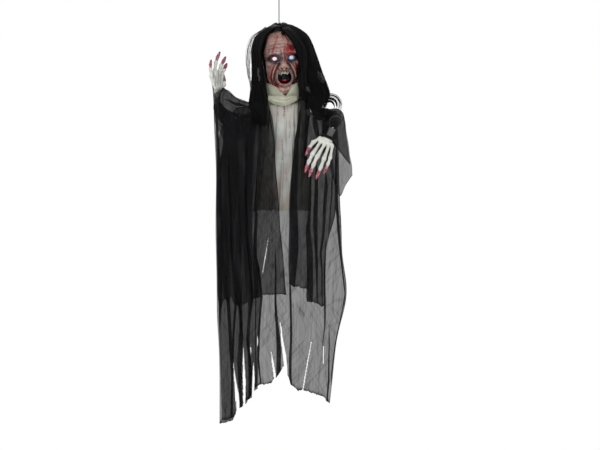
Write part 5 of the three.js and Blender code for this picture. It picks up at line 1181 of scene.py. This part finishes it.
# The robe: panels of gauze over the tunic, hung from the shoulders and the raised arm.
# A net is rows of points in the picture: their px, their py and their y in mm, where one number
# stands for the whole row. A fold is (doubling, depth in mm, [(px, py, width in px), ...] down
# its line): the cloth goes back on itself there, three deep. Size is the columns across and
# the rows down, and blend the two bodies with the places in mm where each one's hold is full.
PANELS = {
    "robe_front_right": {
        "net": [
            ((212.8, 218.2, 222.8, 231, 240, 252), (85.6, 99, 88.4, 94, 100.2, 103.6),
                (-51, -51, -48, -44, -42, -39)),
            ((214.3, 220, 229, 239, 250, 262), (113, 116, 119, 121.8, 123.1, 121.8),
                (-49, -50, -50, -48, -48, -48)),
            ((216, 223, 230, 239, 248, 256.5), 170, (-44, -46, -47, -47, -47, -48)),
            ((216.2, 223, 231, 239, 246, 253), 235, (-39, -42, -44, -45, -46, -48)),
            ((217, 227, 236, 245, 254, 261), 300, (-33, -38, -41, -42, -43, -44)),
            ((219, 228, 237, 246, 253, 258.5), 347, (-30, -34, -38, -40, -42, -42)),
            ((220, 227.5, 236, 245.5, 252, 258), (423.5, 419, 410, 402, 392, 387),
                (-25, -29, -32, -35, -37, -39)),
        ],
        "hem": [(219, 423.5), (222, 422.6), (226, 422), (233, 419.7), (235.6, 414), (239.2, 407.8),
            (243, 405.8), (246.8, 402.5), (248.3, 398.7), (252, 397.2), (253, 391), (259.8, 386.7),
            (265, 384)],
        "folds": [
            (0.62, 4, [(217, 100, 5), (218.5, 160, 6), (219, 235, 5.5), (219, 285, 5), (220, 306, 2)]),
            (0.6, 5, [(226, 105, 7), (224.5, 170, 7), (227, 235, 6), (228.5, 290, 5), (231, 350, 4),
                (232.5, 368, 3)]),
            (0.62, 5, [(234, 112, 8), (232.5, 170, 8), (236, 235, 7), (240.5, 290, 5), (241, 330, 4),
                (239.5, 360, 4), (241, 400, 2.5)]),
            (0.6, 5, [(244, 112, 8), (241, 170, 8), (244, 235, 6), (250, 290, 5), (248.5, 330, 4),
                (249.5, 365, 3), (249, 398, 3)]),
            (0.62, 4, [(254, 115, 8), (249.5, 170, 7), (250, 235, 5), (256, 280, 4), (255.7, 298, 1.6),
                (255.8, 345, 1.8), (256, 380, 2.5)]),
        ],
        "held": "hung", "rests_on": ["hand_right", "shoulder_yoke"], "size": (110, 230),
        "blend": ("frame", "arm_right", (-30, 0, -560), (-150, 0, -380)),
    },
    "robe_lining_right": {
        "net": [
            ((236, 244, 252, 259, 266.5), (108, 107, 105.1, 101.9, 97.5), (-36, -35, -34, -35, -37)),
            ((228, 241, 254, 264, 273.3), (121.8, 123.1, 123.1, 123.1, 123.1), (-41, -42, -42, -43, -44)),
            ((220, 236, 252, 265, 276), 165, (-40, -41, -41, -42, -43)),
            ((218.5, 237, 254, 267, 279), 209, (-37, -38, -39, -40, -41)),
            ((218.5, 236, 252, 267, 282.5), 250, (-33, -35, -37, -38, -39)),
            ((219, 234, 248, 266, 286.6), (307.1, 304.8, 299.1, 294.9, 294.6), (-28, -31, -33, -35, -37)),
        ],
        "hem": [(217, 308), (222, 306), (225, 297), (228, 304), (231, 295), (234, 304), (239, 305.5),
            (247, 303), (249, 300), (256, 298), (260.5, 297), (261, 294.4), (272, 294.6), (280, 293.8),
            (287, 294.6)],
        "folds": [
            (0.6, 4, [(224, 135, 6), (224, 209, 7), (226, 300, 6)]),
            (0.6, 4, [(238, 120, 7), (237, 209, 7), (238, 300, 6)]),
            (0.6, 4, [(250, 110, 6), (246, 209, 7), (248, 300, 6)]),
            (0.6, 4, [(263, 104, 6), (260, 140, 5), (256.5, 200, 4), (255.5, 240, 5), (256.5, 292, 6)]),
            (0.55, 2, [(268, 104, 3), (273.5, 140, 2), (275.8, 170, 1.8), (278.8, 209, 1.8),
                (282, 250, 1.2)]),
        ],
        "held": "hung", "rests_on": ["shoulder_yoke"], "size": (110, 130),
        "blend": ("frame", "arm_right", (-30, 0, -560), (-150, 0, -380)),
    },
    "robe_front_left": {
        "net": [
            ((298, 305, 311.5, 318, 325.5), (99, 99, 100.5, 104, 109), (-36, -35, -34, -32, -29)),
            ((296.8, 304, 311.5, 319.5, 328), (125.1, 125.1, 125.1, 125.3, 125.6),
                (-43, -40, -35, -30, -26)),
            ((294.5, 303, 311.5, 320.5, 330), (143, 143, 143, 143, 142), (-42, -38, -26, -22, -20)),
            ((292, 302, 312, 322, 333), (165, 165, 165, 165, 163), (-42, -38, -27, -21, -18)),
            ((289, 301, 314, 326, 336), (209, 209, 209, 209, 207.1), (-45, -41, -34, -27, -22)),
            ((288.6, 299, 309, 318, 326), 249.8, (-45, -42, -37, -33, -29)),
            ((288.6, 299, 308, 316, 323.8), (284.9, 289.1, 296.2, 302.9, 305), (-44, -41, -37, -33, -29)),
        ],
        "hem": [(288, 283), (292.6, 285.5), (293, 286.2), (299.5, 286.5), (300.5, 288), (309, 288.5),
            (309.4, 296), (304.5, 301), (315, 302.5), (318, 303.5), (321.5, 306.5), (325, 305.5)],
        "folds": [
            (0.66, 4, [(301, 104, 7), (298.5, 125, 4), (296.5, 145, 5), (295, 170, 7), (293.5, 209, 9),
                (293.8, 250, 10), (291.4, 284, 5.6)]),
            (0.6, 3, [(305.5, 104, 4), (306.5, 120, 5.6), (306.5, 135, 5.6), (304.8, 150, 4),
                (304.6, 168, 1.5)]),
            (0.62, 3, [(311, 104, 6), (314.6, 120, 7), (316, 128, 6.6), (318, 137, 4.6), (311, 160, 3),
                (310, 190, 3), (309, 220, 4), (306, 250, 8), (305, 288, 9)]),
            (0.6, 3, [(316.5, 155, 3), (316, 190, 5), (315.5, 225, 6), (316, 255, 4), (317.5, 300, 1.5)]),
            (0.55, 3, [(325.5, 165, 4), (326, 190, 6), (323.5, 230, 5), (320.5, 252, 3.6),
                (322, 270, 2.6), (322.5, 300, 1.6)]),
            (0.45, 3, [(332, 165, 3), (332, 195, 4), (328.5, 230, 2)]),
        ],
        "held": "hung", "rests_on": ["shoulder_yoke"], "size": (90, 150),
        "blend": ("frame", "arm_left", (30, 0, -460), (120, 0, -330)),
    },
    "robe_back": {
        "net": [
            ((231, 258, 285, 311, 333), (120.9, 113.2, 107, 113.2, 118.9), (26, 34, 36, 34, 26)),
            ((219, 254, 285, 315, 338), 134.1, (33, 42, 44, 42, 33)),
            ((217, 253, 285, 316, 340.6), 209, (33, 42, 44, 42, 33)),
            ((217.5, 252, 284, 314, 342.4), (255, 255, 255, 253, 250), (32, 40, 42, 40, 32)),
            ((218, 252, 284, 316, 346.4), (300, 300, 300, 300, 294.2), (30, 37, 40, 37, 30)),
            ((219.5, 251, 284, 311, 336.8), (345, 345, 335, 345, 343), (28, 34, 36, 34, 28)),
            ((221.5, 250, 283, 305, 329.6), (418, 397.2, 366, 391, 402.9), (25, 30, 33, 30, 25)),
        ],
        "hem": [(219, 421), (227, 420.5), (233, 418), (236, 412), (243, 404), (247, 400), (252, 395.5),
            (254, 389), (259.8, 385), (265, 384.5), (271.2, 383.8), (273.6, 379.5), (276, 378.6),
            (280, 372.8), (283.7, 366), (286.6, 365.2), (287.5, 375.7), (289.4, 380), (290.4, 384.8),
            (296, 389), (298, 391.5), (301.4, 390.5), (308, 392), (315.3, 394.4), (324, 397.2),
            (326.3, 401.5), (329.8, 403.6)],
        "folds": [
            (0.6, 5, [(221, 150, 4), (222, 250, 4), (220.5, 300, 3), (219.8, 320, 1.6)]),
            (0.6, 5, [(229, 150, 5), (232, 250, 5), (235.5, 300, 3), (233, 345, 3), (231.5, 380, 2.6),
                (231.5, 412, 3.4)]),
            (0.6, 5, [(241, 150, 5), (240, 250, 5), (238.5, 300, 3), (242, 335, 3), (240, 372, 2),
                (246.5, 400, 3)]),
            (0.6, 5, [(250, 150, 5), (249, 250, 5), (252, 300, 3), (247, 340, 3.5), (251, 375, 3),
                (250.5, 394, 3)]),
            (0.62, 3, [(256, 250, 3), (261.5, 298, 3), (258.5, 335, 2.6), (258, 360, 2),
                (261, 384, 1.2)]),
            (0.66, 4, [(275, 240, 1.6), (275.6, 300, 2.6), (276.8, 325, 3.4), (279, 350, 5),
                (278.6, 374, 5)]),
            (0.66, 4, [(289.6, 270, 1.8), (290.8, 300, 2.6), (290.8, 340, 2.8), (290.4, 365, 4),
                (291.4, 386, 6)]),
            (0.66, 3, [(325.6, 236, 1.4), (325, 270, 2.2), (324.8, 305, 2.4), (324.6, 330, 1.4),
                (323, 345, 0.8)]),
            (0.6, 3, [(329, 318, 1), (329.6, 345, 2), (328.6, 380, 2.8), (327, 398, 2.4)]),
            (0.66, 3, [(336.4, 140, 4.2), (337, 200, 4.6), (338.5, 232, 4), (342, 262, 2.2),
                (345, 294, 1.4), (340.5, 320, 1.2), (335.5, 345, 1.6), (331.4, 375, 1.4)]),
        ],
        "held": "hung", "rests_on": ["shoulder_yoke"], "size": (190, 230),
        "blend": ("frame", "arm_right", (-60, 0, -560), (-190, 0, -380)),
    },
    "sleeve_wing_left": {
        "net": [
            ((322, 330.5, 337, 344, 350.5), (134, 142, 148, 157, 165), (28, 29, 29, 29, 28)),
            ((322.3, 330.5, 337.5, 343, 347), (118, 120, 122, 128, 138), (22, 23, 24, 25, 25)),
            ((322.5, 330.5, 337.3, 342.6, 345.3), (109.3, 109, 108.6, 112.5, 122.2),
                (13, 12, 12, 15, 16)),
            ((321.8, 330.5, 337.9, 343.4, 348.4), (128.6, 130.8, 133, 136.2, 144), (20, 20, 20, 21, 21)),
            ((322.3, 331, 338.2, 345, 351), (150, 155, 158.4, 160, 160), (20, 20, 20, 21, 21)),
            ((329, 333, 339.4, 345.8, 352.8), (163, 178, 196, 185, 175.2), (20, 20, 20, 21, 20)),
        ],
        "held": "draped", "rests_on": ["arm_padding_left"], "size": (70, 110),
        "blend": None,
    },
}
# Tears, as (px, py, half width in px) down each, all through the panels there.
TEARS = [
    [(280.2, 322, 0.2), (282, 340, 0.9), (284.4, 356, 1.6), (285.6, 367, 1.5), (286, 380, 1.5)],
    [(271, 352, 0.1), (272.8, 364, 0.9), (274.6, 375, 1.1), (275.6, 390, 0.7)],
    [(243.4, 348, 0.2), (243.7, 364, 0.9), (244.2, 382, 1.6), (244.4, 415, 0.8)],
    [(233.2, 362, 0.2), (234.8, 378, 0.9), (237.2, 396, 2), (238.8, 424, 1.8)],
    [(253.6, 363, 0.2), (253.4, 377, 1.3), (253.1, 402, 0.8)],
    [(311.4, 342, 0.3), (307, 366, 0.45), (301.6, 398, 0.35)],
    [(323.6, 346, 0.35), (323.4, 364, 0.35)],
    [(257.4, 336, 0.3), (257.6, 341, 0.6), (257.4, 346, 0.3)],
    [(268.4, 238, 0.1), (265.6, 255, 0.4), (262.6, 273, 0.2)],
    [(250.6, 344, 0.2), (250.9, 350, 0.5), (250.6, 355, 0.2)],
]
# Columns of the smooth net under a panel, and columns that each fold takes.
NET_COLUMNS = 60
FOLD_COLUMNS = 16


def smooth_row(points, n):
    """n points at even parameter along a smooth curve."""
    s = np.linspace(0, len(points) - 1, n)
    i = np.minimum(s.astype(int), len(points) - 2)
    return spline(led_out(points), i, (s - i)[:, None])


def spline_net(net, down, across):
    """A smooth grid through a net of control points."""
    rows = [smooth_row(np.stack(np.broadcast_arrays(*row), 1).astype(float), across) for row in net]
    return np.stack([smooth_row(column, down) for column in np.stack(rows, 1)], 1)


def drape(panel, phase):
    """The hung panel: a grid of (px, py, y), folded, ragged at the hem and a little uneven."""
    plain, down = panel["size"]
    net = spline_net(panel["net"], down, NET_COLUMNS)
    share = np.linspace(0, 1, NET_COLUMNS)
    centres, widths, rises = [], [], []
    for _, _, line in panel.get("folds", ()):
        px, py, width = np.array(line, float).T
        off = net[:, :, 0] - np.interp(net[:, :, 1], py, px)
        centre = np.array([np.interp(0, row, share) for row in off])
        at_py = np.array([np.interp(c, share, row) for c, row in zip(centre, net[:, :, 1])])
        span = np.ptp(net[:, :, 0], axis=1)
        centres.append(centre)
        widths.append(np.interp(at_py, py, width) / span)
        ends = smooth_step(at_py, py[-1] + 2, py[-1] + 18)
        rises.append(smooth_step(at_py, py[0] - 6, py[0] + 22) * (1 - ends))
    rows = []
    for j in range(down):
        marks, flips, last = [], [], 0.0
        for k, (doubling, depth, _) in enumerate(panel.get("folds", ())):
            p = np.linspace(-0.5, 0.5, FOLD_COLUMNS)
            turn = np.sin(2 * math.pi * p) * rises[k][j]
            start = max(centres[k][j] - widths[k][j] / 2, last + 0.001)
            before = centres[k - 1].mean() if k else 0
            n = max(4, round(plain * (centres[k].mean() - widths[k].mean() / 2 - before)))
            marks.append(np.linspace(last, start, n, endpoint=False))
            flips.append(np.zeros(n))
            marks.append(start + widths[k][j] * (p + 0.5 - doubling * turn))
            flips.append(depth * turn * (1 if k % 2 else -1))
            last = start + widths[k][j]
        n = max(4, round(plain * (1 - (centres[-1].mean() if centres else 0))))
        marks.append(np.linspace(last, max(1.0, last + 0.004), n))
        flips.append(np.zeros(n))
        spread, deep = np.clip(np.concatenate(marks), 0, 1), np.concatenate(flips)
        row = np.stack([np.interp(spread, share, net[j, :, axis]) for axis in range(3)], 1)
        row[:, 2] += deep
        rows.append(row)
    grid = np.stack(rows)
    u = np.linspace(0, 1, grid.shape[1])[None, :]
    v = np.linspace(0, 1, down)[:, None]
    swell = np.sin(4 * math.pi * u * len(panel["net"][0][0]) / 2 + 2 * np.sin(5 * v + phase))
    grid[:, :, 2] += 1.6 * swell * smooth_step(v, 0.02, 0.2)
    grid[:, :, 0] += 0.3 * np.sin(23 * v + 6 * u + phase) * np.minimum(1, 4 * v)
    if "hem" in panel:
        wanted = np.interp(grid[-1, :, 0], *np.array(panel["hem"]).T)
        shred = 0.45 * rng.standard_normal(grid.shape[1]) * (rng.random(grid.shape[1]) < 0.4)
        grid[:, :, 1] += v**6 * (wanted + shred - grid[-1, :, 1])[None, :]
    return grid


def cloth(name, grid, edge, stands_for, held, rests_on):
    """A gauze sheet on a grid of picture points, torn along the tears' lines."""
    rows, across = grid.shape[:2]
    faces = weave(rows, across)
    spots = grid.reshape(-1, 3)
    middle = spots[faces].mean(1)
    kept = np.ones(len(faces), bool)
    for line in TEARS:
        px, py, half = np.array(line).T
        along_line = (middle[:, 1] > py[0]) & (middle[:, 1] < py[-1])
        near = np.abs(middle[:, 0] - np.interp(middle[:, 1], py, px)) < np.interp(middle[:, 1], py, half)
        kept &= ~(near & along_line)
    faces = faces[kept]
    used, where = np.unique(faces, return_inverse=True)
    metres = np.stack(
        [(spots[:, 0] - CORD_PIXEL) * PIXEL, spots[:, 2] * MM, -(spots[:, 1] + TOP_MARGIN) * PIXEL], 1
    )
    faces = where.reshape(faces.shape)
    masks = {"dense": edge.ravel()[used]}
    made = piece(name, metres[used], faces, gauze, "robe_gauze", None, stands_for, masks)
    return made


for number, (node, panel) in enumerate(PANELS.items()):
    grid = drape(panel, number * 1.7)
    v = np.linspace(0, 1, grid.shape[0])[:, None]
    u = np.linspace(0, 1, grid.shape[1])[None, :]
    edge = 0.2 * bell(1 - v, 0.006) + 0.2 * bell(np.minimum(u, 1 - u), 0.008)
    edge = edge + 0.23 * bell(v, 0.012)
    made = cloth(node + "_gauze", grid, edge, [node], panel["held"], panel["rests_on"])
    if panel["blend"]:
        a, b, start, end = panel["blend"]
        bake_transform(made)
    else:
        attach(made, "arm_left")

# The swags: a second thickness of the cape that loops from the raised wrist to the shoulder.
# Its rows run across the loops, so its folds follow them: px and py change places in it.
SWAG = {
    "net": [
        ((95, 102, 112, 122), (213.8, 213.9, 214.4, 214.8), (-52, -52, -51, -50)),
        ((91, 107, 120, 136), (220, 220.5, 221.2, 221.6), (-54, -55, -54, -52)),
        ((90.5, 112, 130, 150), (227.8, 228.5, 229, 229), (-53, -56, -56, -53)),
        ((97.5, 117, 133, 154), (236.5, 238, 239, 239), (-50, -55, -56, -53)),
        ((102, 116, 128, 146), (247.5, 249, 250, 249), (-47, -52, -55, -53)),
        ((102, 109, 116, 130), (257, 259, 260, 258), (-45, -49, -51, -51)),
    ],
    "folds": [
        (0.6, 2, [(98, 219, 4), (101.5, 229, 5), (105, 238, 4), (107, 247, 2)]),
        (0.62, 3, [(104, 213, 4), (108.5, 221, 5), (113, 230, 5.5), (117, 239, 5), (114.5, 250, 4),
            (107.5, 259, 3)]),
        (0.62, 3, [(118, 213, 4), (126, 221, 7), (134, 230, 8), (136, 239, 8), (130, 250, 7),
            (117, 259, 4)]),
    ],
    "size": (60, 90),
}
grid = drape(SWAG, 0.6)[:, :, [1, 0, 2]]
carried = ("gathered", ["hand_right", "shoulder_yoke"])
swag = cloth("robe_front_right_swags", grid, np.zeros(grid.shape[:2]), ["robe_front_right"], *carried)
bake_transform(swag)


# Arms: wire under a knitted sleeve stuffed with foam, and the bone hands on their ends.
# Of each arm, in mm: shoulder, elbow and wrist, then where the hand points and its back faces.
ARMS = {
    "right": (
        (-33.051, -5.3, -292.691), (-112.47, -0.258, -319.584), (-144.829, -29.022, -262.055),
        (0.08, -0.12, 0.99), (-0.87, 0.5, 0.13),
    ),
    "left": (
        (66.654, -5.3, -285.019), (136.951, -0.279, -293.626), (126.518, -42.013, -322.84),
        (-0.42, -0.16, -0.89), (0, -1, 0.18),
    ),
}
PAD_RADIUS = 16
PAD_START = 18
PAD_END = 1
PAD_RINGS, PAD_SIDES = 100, 44
# The bore in the hand's stub for the end of the wire: radius and depth.
WIRE_BORE, WIRE_DEPTH = 2.3, 10


def unit(v):
    """A direction's unit vector."""
    v = np.array(v, float)
    return v / np.linalg.norm(v)


def sleeve(side):
    """The stuffed sleeve: fullest along the bones, creased inside the elbow, gathered at both ends."""
    shoulder, elbow, wrist, aim, _ = (np.array(v, float) for v in ARMS[side])
    upper, fore, out = unit(elbow - shoulder), unit(wrist - elbow), unit(aim)
    bend = PAD_RADIUS * 1.2
    line = [
        shoulder + upper * PAD_START,
        (shoulder + elbow) / 2,
        elbow - upper * bend,
        elbow - upper * bend * 0.3 + fore * bend * 0.3,
        elbow + fore * bend,
        wrist - fore * 12 - out * 8,
        wrist - out * PAD_END,
    ]
    line = along(line, PAD_RINGS)
    t = np.linspace(0, 1, PAD_RINGS)[:, None]
    a = np.linspace(0, 2 * math.pi, PAD_SIDES, endpoint=False)[None, :]
    run = np.linalg.norm(np.diff(line, axis=0), axis=1).sum()
    elbow_t = np.argmin(np.linalg.norm(line - elbow, axis=1)) / (PAD_RINGS - 1)
    ends = np.minimum(1, 0.55 + 0.45 * np.sqrt(np.clip(np.minimum(t, 1 - t) * run / 9, 0, 1)))
    ends *= 1 - 0.24 * smooth_step(t, 1 - 34 / run, 1)
    near = bell(t, 0.13, elbow_t)
    crease = 0.8 * np.sin(t * run * 0.75 + 1.2 * np.sin(a)) * near
    soft = 0.45 * np.sin(t * run * 0.31 + 2 * a) + 0.3 * np.sin(t * run * 0.7 - 3 * a)
    gather_ends = 0.5 * np.sin(14 * a) * np.exp(-(np.minimum(t, 1 - t) * run / 7))
    radius = PAD_RADIUS * ends - 0.8 + crease + soft + gather_ends
    points, faces = tube(line, 1.0, PAD_SIDES)
    middle = np.repeat(line, PAD_SIDES, axis=0)
    points = middle + (points - middle) * radius.reshape(-1, 1)
    return points, faces


for side in ("right", "left"):
    points, faces = sleeve(side)
    arm, padding = f"arm_{side}", f"arm_padding_{side}"
    made = piece(f"sleeve_stuffed_{side}", points * MM, faces, knit, "arm_foam", arm, [padding])

# A hand's own millimetres: x toward the thumb, z along it from the wrist, y out of its back.
# Thumb first: its joints from the wrist to the tip. The raised hand is more spread and curled.
FINGERS = {
    "left": [
        [(17, 34, 0), (27, 50, 1.5), (30.5, 66, 0), (30.7, 84.5, -4.5)],
        [(12, 38, 0), (16.5, 77, 4), (17, 96, 3), (16.4, 109, -3), (15.3, 121, -11)],
        [(0.5, 38, 0), (4, 78, 4), (4, 99, 2), (3.3, 113, -4), (2.5, 126, -11)],
        [(-9, 39, 0), (-12.5, 76, 3), (-14, 97, 1), (-14.4, 111, -5), (-14.7, 123.5, -12)],
        [(-17.5, 40, 0), (-24.5, 67, 1), (-26, 82, 0), (-26.2, 94, -5), (-26, 104.5, -10)],
    ],
    "right": [
        [(14, 34, -1), (19, 46, -2), (20.5, 56, -1), (20, 67, 0)],
        [(12, 38, 1), (15, 70, 3), (12.5, 82, -3), (10, 90, -8), (8, 97, -12)],
        [(0.5, 38, 2), (3, 75, 5), (2, 92, -1), (1, 103, -7), (0, 113, -12)],
        [(-9, 39, 2.5), (-12, 76, 7), (-13.5, 98, 5), (-14, 112, 1), (-14, 124, -4)],
        [(-17, 40, 3), (-24.5, 67, 8), (-29, 83, 8.5), (-32, 94, 8), (-34, 105, 6)],
    ],
}
# Radii of a bone at its near end, its middle and its far end.
BONES = [(4.2, 3.4, 5.6), (5.0, 3.5, 4.8), (4.4, 3.4, 4.1), (3.9, 3.4, 2.2)]


def bone_list(side):
    """Every bone as (finger, number, near point, far point, radii)."""
    bones = []
    flip = 1 if side == "right" else -1
    for f, finger in enumerate(FINGERS[side]):
        joints = [(x * flip, y, z) for x, z, y in finger]
        radii = BONES if f else [BONES[0], BONES[1], BONES[3]]
        size = (1.0, 1.0, 1.0, 0.97, 0.84)[f]
        for k in range(len(joints) - 1):
            bones.append((f, k, joints[k], joints[k + 1], [r * size for r in radii[k]]))
    return bones


def bone_field(x, y, z, near, far, radii):
    """Distance to one bone: slim in the middle, with a knob at its near end."""
    middle = (np.array(near) + far) / 2
    first = limb(x, y, z, near, middle, radii[0], radii[1])
    second = limb(x, y, z, middle, far, radii[1], radii[2])
    knob = egg(x, y, z, near, (radii[0] * 1.12,) * 3)
    return melt(melt(first, second, 1.2), knob, 1.2)


def hand_field(x, y, z, side):
    """Distance to the bone hand, and to each of its fingers."""
    flip = 1 if side == "right" else -1
    fingers = [None] * 5
    for f, _, near, far, radii in bone_list(side):
        bone = bone_field(x, y, z, near, far, radii)
        fingers[f] = bone if fingers[f] is None else melt(fingers[f], bone, 0.8)
    whole = fingers[0]
    for finger in fingers[1:]:
        whole = melt(whole, finger, 1.6)
    wrist_bones = egg(x, y, z, (0.5 * flip, 0.5, 37.5), (20.5, 5.6, 8.0))
    for dx, dz, r in ((-13, 38, 5.4), (-5, 39, 5.8), (4, 38, 5.8), (12, 36, 5.6)):
        wrist_bones = melt(wrist_bones, egg(x, y, z, (dx * flip, 1.8, dz), (r, 5.0, r)), 1.5)
    stub = [limb(x, y, z, (s * 3, 0, 1.5), (s * 2.4, 0, 24), 5.4, 4.4) for s in (-1, 1)]
    stub = melt(*stub, 2)
    flare = egg(x, y, z, (0, 0, 29), (13, 5.4, 7))
    if side == "right":
        wrist_bones = melt(wrist_bones, egg(x, y, z, (-3, 3, 58), (17, 3.6, 24)), 2)
    whole = melt(melt(whole, wrist_bones, 2.5), melt(stub, flare, 4), 2)
    return np.maximum(whole, 0.4 - z), fingers


# Side, how dark its nails and its finger tips are, how strong its brown wash, how far up its
# stub is black, how far its fan is pushed back.
for side, marks, tips, wash, cuff, back_off in (
    ("right", 0.95, 0.7, 0.35, 7, 4.0),
    ("left", 0.3, 0, 0.8, 29, 0.0),
):
    _, _, wrist, aim, back = (np.array(v, float) for v in ARMS[side])
    ahead_axis = unit(aim)
    back_axis = unit(back - ahead_axis * (back @ ahead_axis))
    turn = np.stack([np.cross(back_axis, ahead_axis), back_axis, ahead_axis], 1)
    low, high, step = (-42, -20, -1), (42, 18, 132), 0.9
    x, y, z = grid_over(low, high, step)
    field, _ = hand_field(x, y, z, side)
    bore = np.maximum(np.hypot(x, y) - WIRE_BORE, z - WIRE_DEPTH)
    points, quads = skin_of(np.maximum(field, -bore), low, step)
    _, fingers = hand_field(*points.T, side)
    near = np.sort(np.stack(fingers), 0)
    crevice = np.exp(-((near[1] - near[0]) / 1.6)) * (points[:, 2] < 80)
    dip, nail = np.zeros(len(points)), np.zeros(len(points))
    for f, k, start, end, radii in bone_list(side):
        last = k == len(FINGERS[side][f]) - 2
        if last or (k == len(FINGERS[side][f]) - 3 and f):
            start, end = np.array(start), np.array(end)
            t = ((points - start) @ (end - start)) / ((end - start) @ (end - start))
            mine = np.abs(fingers[f] - near[0]) < 0.01
            if last:
                dip = np.where(mine & (t > -0.1), 0.6, dip)
                nail = np.where(mine, np.maximum(nail, smooth_step(t, 0.62, 0.95)), nail)
            else:
                dip = np.where(mine, np.maximum(dip, 0.56 * smooth_step(t, 0.1, 0.7)), dip)
    rings = np.sin(points[:, 2] * 0.9) * 0.5 + 0.5
    up = points[:, 2]
    masks = {
        "wash": np.clip(wash * crevice * (up > 42) + 0.2 * rings * (up < 24), 0, 1),
        "deep": 0.4 * crevice * (up > 44) + 0.92 * (up < cuff),
        "dip": dip,
        "nail": np.maximum(nail * marks, dip * tips),
    }
    points[:, 2] -= back_off * smooth_step(points[:, 2], 6, 40)
    points = (points @ turn.T + wrist) * MM
    hand = f"hand_{side}"
    relaxed(piece("bone_" + hand, points, quads, bone_paint, "bone_paint", hand, [hand], masks), 1)
refinish("wrist_band_left", knit)


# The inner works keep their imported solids, in their real finishes.
WORKS = (
    (zinc_steel, ["hanging_rod", "gear_motor", "sound_sensor", "arm_wire_right", "arm_wire_left"]),
    (zinc_steel, ["shoulder_bolt_right", "shoulder_bolt_left"]),
    (black_abs, ["gear_deck", "chest_box_front", "chest_box_back", "battery_tray", "battery_door"]),
    (black_abs, ["speaker", "shoulder_yoke", "power_switch"]),
    (nylon, ["neck_spindle", "head_gear", "drive_pinion"]),
    (red_abs, ["try_button"]),
    (solder_mask, ["circuit_board"]),
    (cell_jacket, ["battery_1", "battery_2", "battery_3"]),
    (eye_pink, ["eye_led_right"]),
    (eye_blue, ["eye_led_left"]),
)
for material, nodes in WORKS:
    for node in nodes:
        refinish(node, material)


# Plain studio: pale floor far below the hem, white all round, soft light.


def white_to_lens(tree, lit, white):
    """Shows as white to the lens and in reflections, and as it is to all other light."""
    path = add(tree, "ShaderNodeLightPath").outputs
    seen = path["Is Camera Ray"]
    for ray in ("Is Glossy Ray", "Is Transmission Ray"):
        seen = add(tree, "ShaderNodeMath", {0: seen, 1: path[ray]}, operation="MAXIMUM").outputs[0]
    return add(tree, "ShaderNodeMixShader", {0: seen, 1: lit, 2: white}).outputs[0]


world = bpy.data.worlds.new("studio")
bpy.context.scene.world = world
world.use_nodes = True
tree = world.node_tree
tree.nodes.clear()
around = add(tree, "ShaderNodeBackground", {"Color": linear("#f4f4f6"), "Strength": 0.62})
clear = add(tree, "ShaderNodeBackground", {"Color": (1, 1, 1, 1), "Strength": 1.0})
out = add(tree, "ShaderNodeOutputWorld")
tree.links.new(white_to_lens(tree, around.outputs[0], clear.outputs[0]), out.inputs["Surface"])

floor_paint = bpy.data.materials.new("matt_white_floor")
floor_paint.use_nodes = True
tree = floor_paint.node_tree
tree.nodes.clear()
path = add(tree, "ShaderNodeLightPath")
matt = add(tree, "ShaderNodeBsdfDiffuse", {"Color": linear("#f6f6f6")})
lift = add(tree, "ShaderNodeMath", {0: path.outputs["Is Camera Ray"], 1: 0.38}, operation="MULTIPLY")
lifted = add(tree, "ShaderNodeEmission", {"Color": linear("#ffffff"), "Strength": lift.outputs[0]})
matt = add(tree, "ShaderNodeAddShader", {0: matt.outputs[0], 1: lifted.outputs[0]})
floor_z = -1.9
reach = 9
corners = [
    (-reach, -reach, floor_z), (reach, -reach, floor_z), (reach, reach, floor_z),
    (-reach, reach, floor_z),
]
floor_data = bpy.data.meshes.new("studio_floor")
floor_data.from_pydata(corners, [], [(0, 1, 2, 3)])
out = add(tree, "ShaderNodeOutputMaterial", {"Surface": matt.outputs[0]})
floor_data.materials.append(floor_paint)
floor = bpy.data.objects.new("studio_floor", floor_data)
bpy.context.collection.objects.link(floor)

lit_point = Vector((0.05, 0, -0.5))
for name, place, size, power in (
    ("key_light", (-1.5, -3.2, 1.0), 2.4, 62),
    ("fill_light", (2.2, -3.0, -0.4), 2.6, 28),
    ("rim_light", (0.6, 2.8, 1.2), 2.2, 26),
):
    lamp = bpy.data.lights.new(name, "AREA")
    lamp.size, lamp.energy = size, power
    light = bpy.data.objects.new(name, lamp)
    light.location = place
    light.rotation_euler = (lit_point - Vector(place)).to_track_quat("-Z", "Y").to_euler()
    bpy.context.collection.objects.link(light)

bpy.context.scene.view_settings.view_transform = "Standard"
